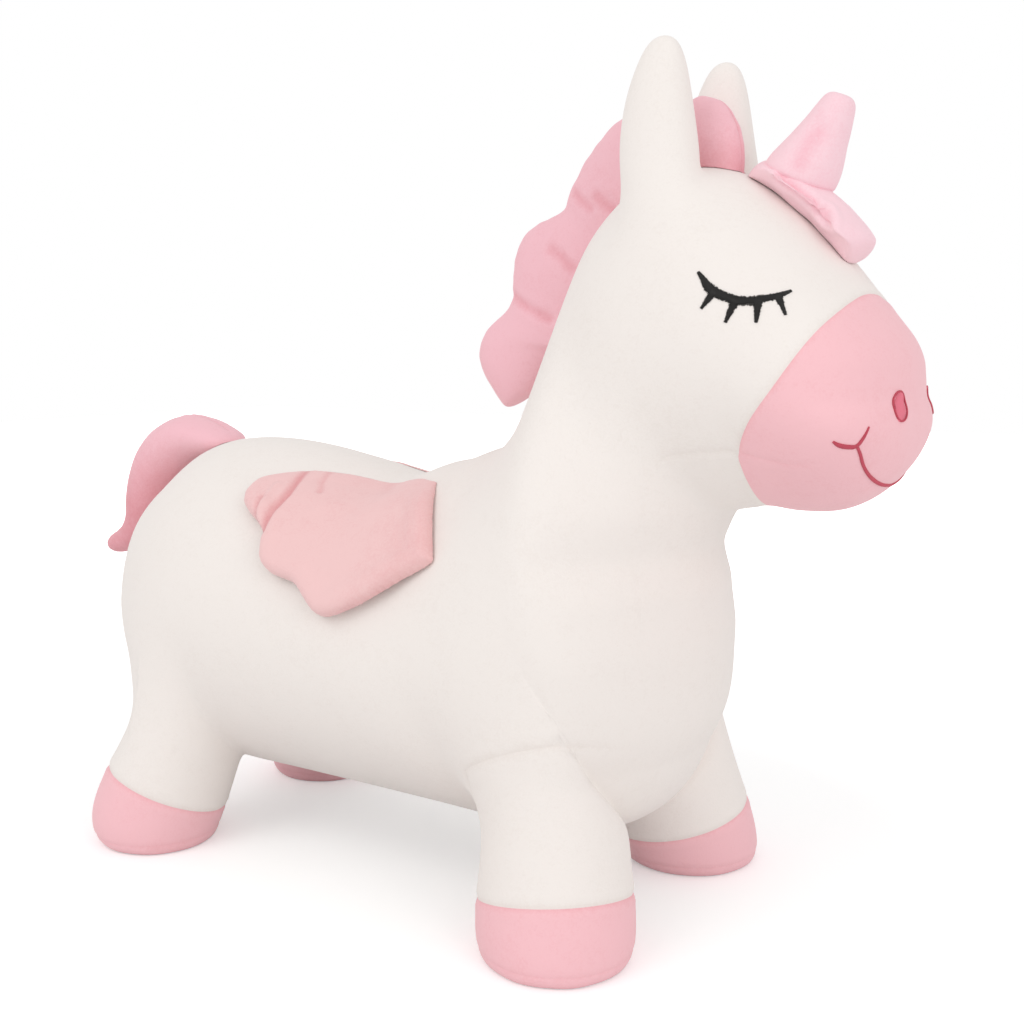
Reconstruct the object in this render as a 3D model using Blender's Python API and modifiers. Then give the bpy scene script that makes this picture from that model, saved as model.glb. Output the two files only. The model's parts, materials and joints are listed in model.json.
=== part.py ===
"""Inflatable bouncy ride-on unicorn in a removable plush cover.

An air bladder with a push-in valve carries a cover that is sewn from panels. A padded mane,
tail, forelock, horn and two wings are sewn on it, and the face is embroidered. The cover
closes under the belly with a zip. Lengths are in metres. +X is forward, +Y is the animal's
left and +Z is up. The four soles stand on the floor at z = 0.
"""

import math

import bmesh
import bpy
from mathutils import Matrix, Vector

MM = 0.001

# Torso, measured on the outside of the plush
RUMP_X = -244 * MM
TORSO_LENGTH = 440 * MM
BELLY_CLEARANCE = 42 * MM
TORSO_DEPTH = 214 * MM
TORSO_WIDTH = 208 * MM

# Neck and head
NECK_WIDTH = 140 * MM
HEAD_REAR_X = 120 * MM
HEAD_LENGTH = 190 * MM
JAW_HEIGHT = 234 * MM
HEAD_HEIGHT = 176 * MM
HEAD_WIDTH = 154 * MM

# Legs, from the body down to the flat soles
WHEELBASE = 306 * MM
TRACK = 166 * MM
HOOF_DIAMETER = 83 * MM
LEG_DIAMETER = 80 * MM
KNEE_HEIGHT = 84 * MM
LEG_SPLAY = 20 * MM

# Ears, which are the handles
EAR_TIP_HEIGHT = 468 * MM
EAR_SPREAD = 74 * MM
EAR_LENGTH_WISE = 43 * MM
EAR_CROSS_WISE = 34 * MM

# Sheet materials and gaps
PLUSH = 3 * MM
BLADDER_WALL = 2 * MM
BLADDER_SLACK = 5.8 * MM
BLADDER_EAR_DROP = 20 * MM
GAP = 0.3 * MM
SEAM = 0.6 * MM
OVERRUN = 60 * MM

# Panels of the cover
GUSSET_WIDTH = 112 * MM
HOOF_BAND_HEIGHT = 37 * MM
SOLE_RIM_HEIGHT = 7 * MM
SLEEVE_HEIGHT = 91 * MM
SLEEVE_INNER_Y = 34 * MM

# Embroidery
THREAD = 0.8 * MM
EYE_LENGTH = 41 * MM
EYE_HEIGHT = 23 * MM
NOSTRIL_DIAMETER = 15 * MM
NOSTRIL_SPREAD = 38 * MM
SMILE_WIDTH = 100 * MM
SMILE_DEPTH = 22 * MM
STITCH_WIDTH = 2.2 * MM

# Padded pieces
MANE_HEIGHT = 60 * MM
MANE_THICKNESS = 27 * MM
FORELOCK_HEIGHT = 38 * MM
FORELOCK_THICKNESS = 26 * MM
TAIL_LENGTH = 136 * MM
TAIL_THICKNESS = 37 * MM
TAIL_WIDTH = 46 * MM
PAD_WIDTH = 48 * MM
PAD_THICKNESS = 17 * MM
HORN_HEIGHT = 42 * MM
HORN_DIAMETER = 37 * MM
WING_THICKNESS = 10 * MM
WING_HINGE_RISE = 10 * MM

# Zip under the belly
ZIP_FRONT_X = 66 * MM
ZIP_LENGTH = 142 * MM
ZIP_TAPE_WIDTH = 10 * MM
ZIP_TAPE_THICKNESS = 0.8 * MM
ZIP_TEETH_WIDTH = 1.9 * MM
ZIP_TEETH_THICKNESS = 1.4 * MM
ZIP_TOOTH_PITCH = 6.2 * MM
ZIP_CHAIN_GAP = 1.5 * MM
SLIDER_LENGTH = 11 * MM
SLIDER_WIDTH = 8.4 * MM
SLIDER_WALL = 0.9 * MM
PULL_LENGTH = 21 * MM
PULL_WIDTH = 6.6 * MM
PULL_THICKNESS = 1 * MM
CROWN_WIDTH = 1.6 * MM
CROWN_LENGTH = 6 * MM
CROWN_WINDOW = 1.6 * MM

# Air valve behind the zip
VALVE_X = -104 * MM
VALVE_RECESS = 3.3 * MM
VALVE_HOLE_DIAMETER = 27 * MM
VALVE_FLANGE_DIAMETER = 24 * MM
VALVE_FLANGE_THICKNESS = 1.2 * MM
VALVE_NECK_DIAMETER = 13.4 * MM
VALVE_NECK_LENGTH = 7 * MM
VALVE_BORE = 8 * MM
PLUG_CAP_DIAMETER = 17 * MM
PLUG_CAP_THICKNESS = 1.3 * MM
PLUG_PIN_LENGTH = 9 * MM

# Weld distance for cut and mirrored meshes, and the angle past which an edge stays sharp
WELD = 0.05 * MM
SHARP_ANGLE = math.radians(40)

# Where each ring of the trunk has its points, from the spine down to the belly line
RING_ANGLES = [math.radians(a) for a in (0, 17, 50, 86, 121, 160, 180)]
LEG_COLUMNS = (3, 4, 5)
LEG_SIDES = 8
LEG_FIRST_CORNER = 3
FRONT_LEG_RING = 6
REAR_LEG_RING = 1
EAR_COLUMNS = (1, 2)
CAP_CORNERS = ((0, 1, 5, 6), (1, 2, 4, 5), (2, 3, 4))

# Each torso ring: top x and z share, bottom x and z share, width share
TORSO_RING_SHARES = (
    (0.03, 0.68, 0.03, 0.30, 0.30),
    (0.08, 0.85, 0.09, 0.10, 0.62),
    (0.17, 0.97, 0.215, 0.015, 0.86),
    (0.27, 1.00, 0.345, 0.00, 1.00),
    (0.40, 0.985, 0.46, 0.00, 1.00),
    (0.52, 0.93, 0.61, 0.00, 1.00),
    (0.645, 0.895, 0.75, 0.00, 1.02),
    (0.735, 1.005, 0.855, 0.00, 1.05),
)
# Each neck ring: share of the way up, width share between the torso and the neck
NECK_RING_SHARES = ((0.22, 0.0), (0.42, 0.14), (0.62, 0.58), (0.82, 1.0))
# Ways out of the torso and into the head along the crest and along the throat, in shares of the span
CREST_START_SHARES = Vector((0.95, 0, 0.65))
CREST_END_SHARES = Vector((0.65, 0, 0.75))
THROAT_START_SHARES = Vector((1.25, 0, 0.1))
THROAT_END_SHARES = Vector((0.2, 0, 1.2))
# Each head ring: top x and z share, bottom x and z share, width share
HEAD_RING_SHARES = (
    (0.09, 0.84, 0.44, -0.03, 0.94),
    (0.22, 0.96, 0.49, 0.00, 0.98),
    (0.45, 1.00, 0.57, 0.00, 1.00),
    (0.64, 0.865, 0.67, -0.01, 0.98),
    (0.79, 0.70, 0.78, 0.00, 0.94),
    (0.90, 0.54, 0.88, 0.04, 0.84),
    (0.96, 0.42, 0.95, 0.12, 0.60),
    (0.985, 0.34, 0.98, 0.20, 0.28),
)
# Each leg ring: height share of the knee, leg and hoof diameter share, and its slope along and across in shares of the splay
LEG_RING_SHARES = ((0.86, 0.90, 0.0, 0.8, 2.6), (0.54, 1.0, 0.0, 1.0, 1.1), (0.13, 0.0, 1.07, 0.35, 0.35),
                   (-0.11, 0.0, 0.86, 0.0, 0.0))
# Each ear ring: share of the way up, size share, lean share of the head's length
EAR_RING_SHARES = ((-0.02, 1.0, 0.0), (0.45, 0.90, 0.0), (0.80, 0.66, 0.01), (1.04, 0.30, 0.02))
EAR_PLACE_SHARE = 0.33
FOUR_SIDED_SHARE = 0.92

# Outline of the muzzle panel in the side view, from the top of its seam down and round the front
MUZZLE_OUTLINE_SHARES = ((0.88, 0.80), (0.858, 0.67), (0.835, 0.555), (0.755, 0.385), (0.672, 0.26),
                         (0.634, 0.185), (0.628, 0.115), (0.64, -0.30), (1.30, -0.30), (1.30, 0.80))
# Each point of the gusset's outline: torso x and z share
GUSSET_REAR_SHARES = ((0.12, -0.40), (0.12, 0.50), (0.82, 0.50))
# Each point of the gusset's outline: head x and z share
GUSSET_FRONT_SHARES = ((0.24, 0.20), (0.40, 0.36), (1.30, 0.36), (1.30, -1.60))
# Regions of the hoofs and of the leg sleeves, in shares of the hoof diameter
HOOF_REACH_SHARE = 0.85
HOOF_INNER_SHARE = 0.765
SLEEVE_REAR_SHARE = 0.6
# How much steeper than the leg's own way the sleeve's top seam leans, along and across
SLEEVE_LEAN_SHARES = (1.7, 1.9)

# Closed eye with its lashes, in shares of its length and height from its middle
EYE_PLACE_SHARES = (0.632, 0.605)
EYE_SHARES = ((-0.49, 0.50), (-0.37, 0.34), (-0.20, 0.14), (-0.05, 0.03), (0.12, 0.0), (0.29, 0.0),
              (0.49, 0.10), (0.49, 0.01), (0.44, -0.08), (0.53, -0.42), (0.47, -0.46), (0.36, -0.19),
              (0.27, -0.23), (0.27, -0.53), (0.20, -0.53), (0.16, -0.23), (0.02, -0.22), (-0.06, -0.52),
              (-0.14, -0.50), (-0.11, -0.17), (-0.22, -0.07), (-0.36, -0.30), (-0.43, -0.22),
              (-0.32, 0.04), (-0.45, 0.26), (-0.52, 0.44))
# Half of the smile, in shares of its half width and its depth from its lowest point
SMILE_SHARES = ((0.0, 0.0), (0.30, 0.06), (0.54, 0.24), (0.74, 0.44), (0.90, 0.72), (0.98, 0.95))
TICK_SHARES = ((1.22, 1.12), (1.12, 1.04), (1.04, 1.10), (0.99, 1.26), (0.96, 1.48))
SMILE_HEIGHT_SHARE = 0.085
NOSTRIL_HEIGHT_SHARE = 0.31
NOSTRIL_SIDES = 16

# Each mane ring: share of the way up the crest, height share, thickness share
MANE_RING_SHARES = (
    (0.09, 0.40, 0.5),
    (0.15, 0.86, 0.9),
    (0.23, 1.04, 1.0),
    (0.36, 1.06, 1.0),
    (0.49, 0.97, 1.0),
    (0.60, 0.70, 0.8),
    (0.69, 0.83, 1.0),
    (0.80, 0.85, 1.0),
    (0.88, 0.72, 0.95),
    (0.94, 0.46, 0.8),
    (1.00, 0.60, 0.9),
)
# The mane's last rings lie on the head: head x and z share, height share, thickness share
MANE_HEAD_SHARES = ((0.15, 0.90, 0.74, 1.0), (0.20, 0.93, 0.74, 0.95), (0.27, 0.97, 0.66, 0.7))
MANE_HEAD_WAY = Vector((-0.35, 0, 1))
MANE_ROOT_SHARE = 0.25
CREST_STEP_SHARE = 0.02
# Each forelock ring: head x and z share of its foot, height share, thickness share
FORELOCK_RING_SHARES = ((0.31, 0.96, 0.8, 0.6), (0.35, 0.98, 1.12, 1.0), (0.43, 0.99, 1.04, 1.0), (0.495, 0.965, 0.35, 0.5))
FORELOCK_WAY = Vector((0.12, 0, 1))
# Each tail ring: length share along X from the root, height share above it, thickness and width share
TAIL_ROOT_SHARES = (0.205, 0.985)
TAIL_RING_SHARES = (
    (0.0, 0.0, 0.26, 0.6),
    (0.13, 0.03, 0.60, 0.84),
    (0.31, 0.02, 0.86, 0.96),
    (0.49, -0.07, 1.0, 1.0),
    (0.61, -0.21, 1.0, 0.96),
    (0.67, -0.37, 0.90, 0.80),
    (0.72, -0.50, 0.72, 0.62),
    (0.83, -0.58, 0.48, 0.46),
    (0.98, -0.62, 0.30, 0.30),
)
# Each wing ring: torso x share and turn share from the spine, first of its top and then of its bottom, thickness share
WING_RING_SHARES = (
    (0.637, 0.088, 0.737, 0.326, 0.25),
    (0.600, 0.075, 0.690, 0.354, 0.8),
    (0.568, 0.065, 0.648, 0.389, 1.0),
    (0.536, 0.065, 0.607, 0.431, 1.0),
    (0.509, 0.065, 0.570, 0.448, 1.0),
    (0.486, 0.072, 0.536, 0.405, 1.0),
    (0.468, 0.080, 0.514, 0.380, 0.85),
    (0.446, 0.095, 0.478, 0.380, 1.0),
    (0.428, 0.110, 0.448, 0.340, 0.95),
    (0.410, 0.122, 0.426, 0.284, 0.8),
    (0.388, 0.140, 0.392, 0.265, 0.8),
    (0.360, 0.165, 0.360, 0.232, 0.4),
)
# Each point of a wing ring: share of the way from its top to its bottom, lift share off the flank
WING_SECTION_SHARES = ((-0.06, 0.1), (0.22, 0.42), (0.80, 1.25), (1.06, 0.5), (0.80, -0.3), (0.22, -0.3))
# Each pad ring: share of the way forward, width share, lift share
PAD_FOOT_SHARES = (0.52, 0.945)
PAD_TIP_SHARES = (0.83, 0.645)
PAD_RING_SHARES = ((-0.06, 0.30, 0.40), (0.07, 0.72, 0.52), (0.26, 0.96, 0.66), (0.44, 0.84, 0.76), (0.57, 0.76, 0.78),
                   (0.72, 0.90, 0.76), (0.85, 0.74, 0.70), (0.94, 0.34, 0.64))
# Where the horn stands: pad share and lift share, then its way up
HORN_FOOT_SHARES = (0.25, 1.15)
HORN_WAY = Vector((0.44, 0, 0.90))
HORN_RING_SHARES = ((-0.12, 0.98), (0.04, 1.05), (0.20, 0.90), (0.45, 0.68), (0.70, 0.53), (0.92, 0.38), (1.0, 0.26))

# Zip details, in shares of the size each belongs to
TOOTH_SHARES = ((0.0, 0.5), (0.1, 0.0), (0.4, 0.0), (0.5, 0.5))
STOP_LENGTH_SHARE = 2.2
SLIDER_SINK_SHARE = 0.11
SLIDER_UPPER_SHARE = 0.5
SLIDER_NECK_SHARES = (0.75, 0.95)
SLIDER_NECK_WIDTH_SHARE = 0.6
PULL_EYE_SHARE = 2.6
# The plug's rounded edges
PIN_TIP_SHARE = 0.8
CAP_EDGE_SHARES = (0.85, 0.5)
TURNED_STEPS = 18


def hang(item, point):
    """Put a moving piece's origin on its joint axis."""
    item.data.transform(Matrix.Translation(-point))
    item.location = point


def ring_growth(sides):
    """How much larger a control ring is than the smooth ring that Subdivision Surface makes of it."""
    return 6 / (4 + 2 * math.cos(2 * math.pi / sides))


def torso(x_share, z_share):
    """A point of the side view, in shares of the torso from its rump and its belly line."""
    return Vector((RUMP_X + x_share * TORSO_LENGTH, 0, BELLY_CLEARANCE + z_share * TORSO_DEPTH))


def head(x_share, z_share):
    """A point of the side view, in shares of the head from the back of its poll and its jaw line."""
    return Vector((HEAD_REAR_X + x_share * HEAD_LENGTH, 0, JAW_HEIGHT + z_share * HEAD_HEIGHT))


def bend(start, start_aim, end, end_aim, t):
    """A point on the smooth curve between two points that leaves and arrives along the aims, in shares of the span."""
    span = (end - start).length
    a = start_aim * span
    b = end_aim * span
    return (
        (2 * t**3 - 3 * t**2 + 1) * start
        + (t**3 - 2 * t**2 + t) * a
        + (3 * t**2 - 2 * t**3) * end
        + (t**3 - t**2) * b
    )


def half_ring(top, bottom, width):
    """The control points of half a trunk ring on the animal's right, from its spine to its belly."""
    centre = (top + bottom) / 2
    upright = (top - bottom) / 2
    grown = ring_growth(2 * len(RING_ANGLES) - 2)
    return [
        centre + grown * (upright * math.cos(a) - Vector((0, width / 2, 0)) * math.sin(a))
        for a in RING_ANGLES
    ]


def trunk_rings():
    rings = []
    for tx, tz, bx, bz, w in TORSO_RING_SHARES:
        rings.append((torso(tx, tz), torso(bx, bz), w * TORSO_WIDTH))
    head_rings = [(head(tx, tz), head(bx, bz), w * HEAD_WIDTH) for tx, tz, bx, bz, w in HEAD_RING_SHARES]
    withers, breast, torso_width = rings[-1]
    poll, throat, head_width = head_rings[0]
    for t, w in NECK_RING_SHARES:
        top = bend(withers, CREST_START_SHARES, poll, CREST_END_SHARES, t)
        bottom = bend(breast, THROAT_START_SHARES, throat, THROAT_END_SHARES, t)
        rings.append((top, bottom, torso_width + w * (NECK_WIDTH - torso_width)))
    return [half_ring(*r) for r in rings + head_rings]


def leg_rings(front):
    """Control rings down a right leg: each has eight points, from the rear outer corner forward."""
    way = 1 if front else -1
    foot = Vector((way * WHEELBASE / 2, -TRACK / 2, 0))
    lean = Vector((way * LEG_SPLAY, -LEG_SPLAY, -KNEE_HEIGHT))
    rings = []
    for up, leg_share, hoof_share, along, across in LEG_RING_SHARES:
        radius = (leg_share * LEG_DIAMETER + hoof_share * HOOF_DIAMETER) / 2 * ring_growth(LEG_SIDES)
        points = []
        for k in range(LEG_SIDES):
            a = 2 * math.pi * (k - LEG_FIRST_CORNER) / LEG_SIDES
            flat = Vector((math.cos(a), math.sin(a), 0)) * radius
            flat.z = (flat.x * along * lean.x + flat.y * across * lean.y) / KNEE_HEIGHT
            points.append(foot - lean * up + flat)
        rings.append(points)
    return rings


def ear_rings():
    """Control rings up the right ear."""
    root_z = JAW_HEIGHT + HEAD_HEIGHT
    rings = []
    for up, size, lean in EAR_RING_SHARES:
        x = HEAD_REAR_X + (EAR_PLACE_SHARE + lean) * HEAD_LENGTH
        centre = Vector((x, -EAR_SPREAD / 2, root_z + up * (EAR_TIP_HEIGHT - root_z)))
        along = Vector((EAR_LENGTH_WISE / 2, 0, 0)) * size / FOUR_SIDED_SHARE
        across = Vector((0, EAR_CROSS_WISE / 2, 0)) * size / FOUR_SIDED_SHARE
        rings.append([centre - along + across, centre + along + across, centre + along - across,
                      centre - along - across])
    return rings


def body_cage():
    """The control cage of the whole animal's right half, open at the middle plane."""
    mesh = bmesh.new()
    trunk = [[mesh.verts.new(p) for p in ring] for ring in trunk_rings()]
    columns = range(len(RING_ANGLES) - 1)
    legs = {True: FRONT_LEG_RING, False: REAR_LEG_RING}
    ear = len(TORSO_RING_SHARES) + len(NECK_RING_SHARES) + 1
    holes = {(ring + i, column) for ring in legs.values() for i in (0, 1) for column in LEG_COLUMNS[:2]}
    holes.add((ear, EAR_COLUMNS[0]))
    for i in range(len(trunk) - 1):
        for j in columns:
            if (i, j) not in holes:
                mesh.faces.new((trunk[i][j], trunk[i][j + 1], trunk[i + 1][j + 1], trunk[i + 1][j]))
    for ring, flip in ((trunk[0], False), (trunk[-1], True)):
        for corners in CAP_CORNERS:
            corner_verts = [ring[c] for c in corners]
            mesh.faces.new(corner_verts[::-1] if not flip else corner_verts)
    for front, r in legs.items():
        a, b, c = LEG_COLUMNS
        loop = [trunk[r][a], trunk[r + 1][a], trunk[r + 2][a], trunk[r + 2][b],
                trunk[r + 2][c], trunk[r + 1][c], trunk[r][c], trunk[r][b]]
        branch(mesh, loop, leg_rings(front))
    a, b = EAR_COLUMNS
    loop = [trunk[ear][a], trunk[ear + 1][a], trunk[ear + 1][b], trunk[ear][b]]
    branch(mesh, loop, ear_rings())
    data = bpy.data.meshes.new("body_cage")
    mesh.to_mesh(data)
    mesh.free()
    return data


def branch(mesh, loop, rings):
    """Carry a hole's rim on through the rings and close the last one."""
    for ring in rings:
        lower = [mesh.verts.new(p) for p in ring]
        for k in range(len(loop)):
            n = (k + 1) % len(loop)
            mesh.faces.new((loop[k], lower[k], lower[n], loop[n]))
        loop = lower
    mesh.faces.new(loop[::-1])


def finish(name, colour, roughness):
    """A plain material."""
    material = bpy.data.materials.new(name)
    material.use_nodes = True
    shader = material.node_tree.nodes["Principled BSDF"]
    shader.inputs["Base Color"].default_value = (*colour, 1)
    shader.inputs["Roughness"].default_value = roughness
    return material


def add(name, mesh, home, material=None):
    """A new object in one of the two collections."""
    item = bpy.data.objects.new(name, mesh)
    home.objects.link(item)
    if home is cutters:
        item.hide_render = True
        item.display_type = "WIRE"
    if material:
        mesh.materials.clear()
        mesh.materials.append(material)
    return item


def baked(item):
    """The mesh of an object with its modifiers worked in."""
    bpy.context.view_layer.update()
    mesh = bpy.data.meshes.new_from_object(item.evaluated_get(bpy.context.evaluated_depsgraph_get()))
    return mesh


def settle(item):
    """Work an object's modifiers into its mesh."""
    mesh = baked(item)
    item.modifiers.clear()
    item.data = mesh


def cut(item, tool, operation="DIFFERENCE", solver="EXACT"):
    """Cut an object by a tool, and keep the result as its mesh."""
    step = item.modifiers.new("Cut", "BOOLEAN")
    step.operation = operation
    step.solver = solver
    step.object = tool
    settle(item)


def grown(source, name, distance):
    """A cutter that follows a closed surface at a distance outside it, or inside it if negative."""
    item = add(name, source.data.copy(), cutters)
    item.matrix_world = source.matrix_world
    shift = item.modifiers.new("Grow", "DISPLACE")
    shift.strength = distance
    shift.mid_level = 0
    settle(item)
    return item


def walled(source, name, home, depth, wall, material=None):
    """A sheet whose outer face follows a closed surface at a depth below it."""
    shape = grown(source, name + "_outer", -depth)
    item = add(name, shape.data.copy(), home, material)
    sheet = item.modifiers.new("Wall", "SOLIDIFY")
    sheet.thickness = wall
    sheet.offset = -1
    settle(item)
    return item


def loft(name, rings, home, material=None, levels=1):
    """A soft closed form: rings of points joined up, closed at both ends and smoothed."""
    mesh = bmesh.new()
    loops = [[mesh.verts.new(p) for p in ring] for ring in rings]
    count = len(rings[0])
    for low, high in zip(loops, loops[1:]):
        for k in range(count):
            n = (k + 1) % count
            mesh.faces.new((low[k], low[n], high[n], high[k]))
    mesh.faces.new(loops[0])
    mesh.faces.new(loops[-1])
    bmesh.ops.recalc_face_normals(mesh, faces=mesh.faces)
    data = bpy.data.meshes.new(name)
    mesh.to_mesh(data)
    mesh.free()
    item = add(name, data, home, material)
    if levels:
        smooth = item.modifiers.new("Subdivision", "SUBSURF")
        smooth.levels = levels
        smooth.render_levels = levels
        settle(item)
    return item


def flat_solid(name, outline, thickness, matrix, home, material=None):
    """A flat outline, filled and given a thickness, then turned into its place."""
    curve = bpy.data.curves.new(name, "CURVE")
    curve.dimensions = "2D"
    curve.fill_mode = "BOTH"
    curve.extrude = thickness / 2
    spline = curve.splines.new("POLY")
    spline.points.add(len(outline) - 1)
    for point, (u, v) in zip(spline.points, outline):
        point.co = (u, v, 0, 1)
    spline.use_cyclic_u = True
    drawn = bpy.data.objects.new(name + "_outline", curve)
    cutters.objects.link(drawn)
    mesh = baked(drawn)
    bpy.data.objects.remove(drawn)
    shape = bmesh.new()
    shape.from_mesh(mesh)
    bmesh.ops.remove_doubles(shape, verts=shape.verts, dist=WELD)
    bmesh.ops.transform(shape, matrix=matrix, verts=shape.verts)
    bmesh.ops.recalc_face_normals(shape, faces=shape.faces)
    shape.to_mesh(mesh)
    shape.free()
    return add(name, mesh, home, material)


def side_view(y):
    """Turns an outline of x and z into a solid across the animal at y."""
    return Matrix.Translation((0, y, 0)) @ Matrix.Rotation(math.radians(90), 4, "X")


def front_view(x):
    """Turns an outline of y and z into a solid along the animal at x."""
    return Matrix.Translation((x, 0, 0)) @ Matrix(((0, 0, 1, 0), (1, 0, 0, 0), (0, 1, 0, 0), (0, 0, 0, 1)))


def block(name, low, high, home, material=None):
    """A plain box between two corners."""
    mesh = bmesh.new()
    bmesh.ops.create_cube(mesh, size=1)
    low = Vector(low)
    high = Vector(high)
    size = high - low
    place = Matrix.Translation((low + high) / 2) @ Matrix.Diagonal((size.x, size.y, size.z, 1))
    bmesh.ops.transform(mesh, matrix=place, verts=mesh.verts)
    data = bpy.data.meshes.new(name)
    mesh.to_mesh(data)
    mesh.free()
    return add(name, data, home, material)


def turned(name, profile, centre, home, material=None):
    """A turned piece with an upright axis: its profile of radius and height runs down its outer side."""
    mesh = bpy.data.meshes.new(name)
    points = [(r, 0, z) for r, z in profile]
    mesh.from_pydata(points, [(i, (i + 1) % len(points)) for i in range(len(points))], [])
    item = add(name, mesh, home, material)
    screw = item.modifiers.new("Turn", "SCREW")
    screw.steps = TURNED_STEPS
    screw.render_steps = TURNED_STEPS
    screw.use_merge_vertices = True
    screw.merge_threshold = WELD
    settle(item)
    shape = bmesh.new()
    shape.from_mesh(item.data)
    bmesh.ops.remove_doubles(shape, verts=shape.verts, dist=WELD)
    on_axis = [edge for edge in shape.edges if not edge.link_faces]
    bmesh.ops.delete(shape, geom=on_axis, context="EDGES")
    bmesh.ops.recalc_face_normals(shape, faces=shape.faces)
    bmesh.ops.translate(shape, vec=centre, verts=shape.verts)
    shape.to_mesh(item.data)
    shape.free()
    return item


def make_surface():
    """The outside of the inflated animal, with its soles pressed flat on the floor."""
    cage = add("body_cage", body_cage(), cutters)
    mirror = cage.modifiers.new("Mirror", "MIRROR")
    mirror.use_axis = (False, True, False)
    mirror.use_clip = True
    mirror.merge_threshold = WELD
    smooth = cage.modifiers.new("Subdivision", "SUBSURF")
    smooth.levels = 1
    smooth.render_levels = 1
    surface = add("plush_surface", baked(cage), cutters)
    for vertex in surface.data.vertices:
        vertex.co.z = max(vertex.co.z, 0)
    return surface


def take(rest, region, name, material):
    """Move the part of the cover inside a region to its own panel, with a seam round it."""
    panel = add(name, rest.data.copy(), parts, material)
    cut(panel, region, "INTERSECT", "MANIFOLD")
    cut(rest, grown(region, name + "_seam", SEAM), "DIFFERENCE", "MANIFOLD")
    return panel


def leg_axis(front, side):
    """The middle of a sole and the direction up its leg."""
    way = 1 if front else -1
    foot = Vector((way * WHEELBASE / 2, side * TRACK / 2, 0))
    return foot, Vector((-way * LEG_SPLAY, -side * LEG_SPLAY, KNEE_HEIGHT)).normalized()


def slanted_block(name, centre, normal, low, high):
    """A box from below the floor up to a slanted plane through a centre."""
    region = block(name, (*low, -OVERRUN), (*high, OVERRUN), cutters)
    for vertex in region.data.vertices:
        if vertex.co.z > 0:
            flat = vertex.co - centre
            vertex.co.z = centre.z - (flat.x * normal.x + flat.y * normal.y) / normal.z
    return region


def make_legs(rest):
    """Soles, hoof bands and front leg sleeves."""
    reach = HOOF_REACH_SHARE * HOOF_DIAMETER
    for front in (True, False):
        for side, label in ((-1, "right"), (1, "left")):
            name = ("front_" if front else "rear_") + label
            foot, axis = leg_axis(front, side)
            ys = sorted((foot.y + side * reach, foot.y - side * HOOF_INNER_SHARE * HOOF_DIAMETER))
            low = (foot.x - reach, ys[0])
            high = (foot.x + reach, ys[1])
            top = foot + axis * HOOF_BAND_HEIGHT / axis.z
            region = slanted_block("hoof_region_" + name, top, axis, low, high)
            hoof = take(rest, region, "hoof_band_" + name, pink_plush)
            ground = block("sole_region_" + name, (*low, -OVERRUN), (*high, SOLE_RIM_HEIGHT), cutters)
            take(hoof, ground, "sole_" + name, pink_plush)
    for side, label in ((-1, "right"), (1, "left")):
        foot, axis = leg_axis(True, side)
        steep = Vector((SLEEVE_LEAN_SHARES[0] * axis.x, SLEEVE_LEAN_SHARES[1] * axis.y, axis.z)).normalized()
        knee = foot + axis * SLEEVE_HEIGHT / axis.z
        ys = sorted((side * SLEEVE_INNER_Y, side * (TRACK / 2 + OVERRUN)))
        region = slanted_block("sleeve_region_" + label, knee, steep,
                               (foot.x - SLEEVE_REAR_SHARE * HOOF_DIAMETER, ys[0]), (foot.x + OVERRUN, ys[1]))
        take(rest, region, "leg_sleeve_" + label, white_plush)


def make_cover():
    """The plush cover, cut into its panels."""
    rest = walled(surface, "cover_rest", cutters, 0, PLUSH)
    make_legs(rest)
    wide = 4 * GUSSET_WIDTH
    outline = [head(u, v).xz for u, v in MUZZLE_OUTLINE_SHARES]
    region = flat_solid("muzzle_region", outline, wide, side_view(0), cutters)
    muzzle = take(rest, region, "muzzle_panel", pink_plush)
    outline = [torso(u, v).xz for u, v in GUSSET_REAR_SHARES]
    outline += [head(u, v).xz for u, v in GUSSET_FRONT_SHARES]
    region = flat_solid("gusset_region", outline, GUSSET_WIDTH, side_view(0), cutters)
    take(muzzle, region, "chin_panel", pink_plush)
    gusset = take(rest, region, "belly_gusset", white_plush)
    room = ZIP_CHAIN_GAP / 2 + ZIP_TEETH_WIDTH + GAP + ZIP_TAPE_WIDTH + GAP
    slot = block("zip_slot", (ZIP_FRONT_X - ZIP_LENGTH - 2 * GAP, -room, 0),
                 (ZIP_FRONT_X + 2 * GAP, room, 2 * BELLY_CLEARANCE), cutters)
    cut(gusset, slot, "DIFFERENCE", "MANIFOLD")
    cut(gusset, valve_drill("valve_hole", VALVE_HOLE_DIAMETER), "DIFFERENCE", "MANIFOLD")
    for side, label in ((-1, "right"), (1, "left")):
        ys = sorted((side * SEAM / 2, side * wide))
        half = block("half_" + label, (-2 * TORSO_LENGTH, ys[0], -OVERRUN), (2 * TORSO_LENGTH, ys[1], 2 * EAR_TIP_HEIGHT),
                     cutters)
        panel = add("side_panel_" + label, rest.data.copy(), parts, white_plush)
        cut(panel, half, "INTERSECT", "MANIFOLD")


def valve_drill(name, diameter):
    """A cutter for the valve's hole through the belly."""
    top = BELLY_CLEARANCE + OVERRUN / 2
    rim = diameter / 2
    return turned(name, ((0, top), (rim, top), (rim, 0), (0, 0)), (VALVE_X, 0, 0), cutters)


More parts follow.
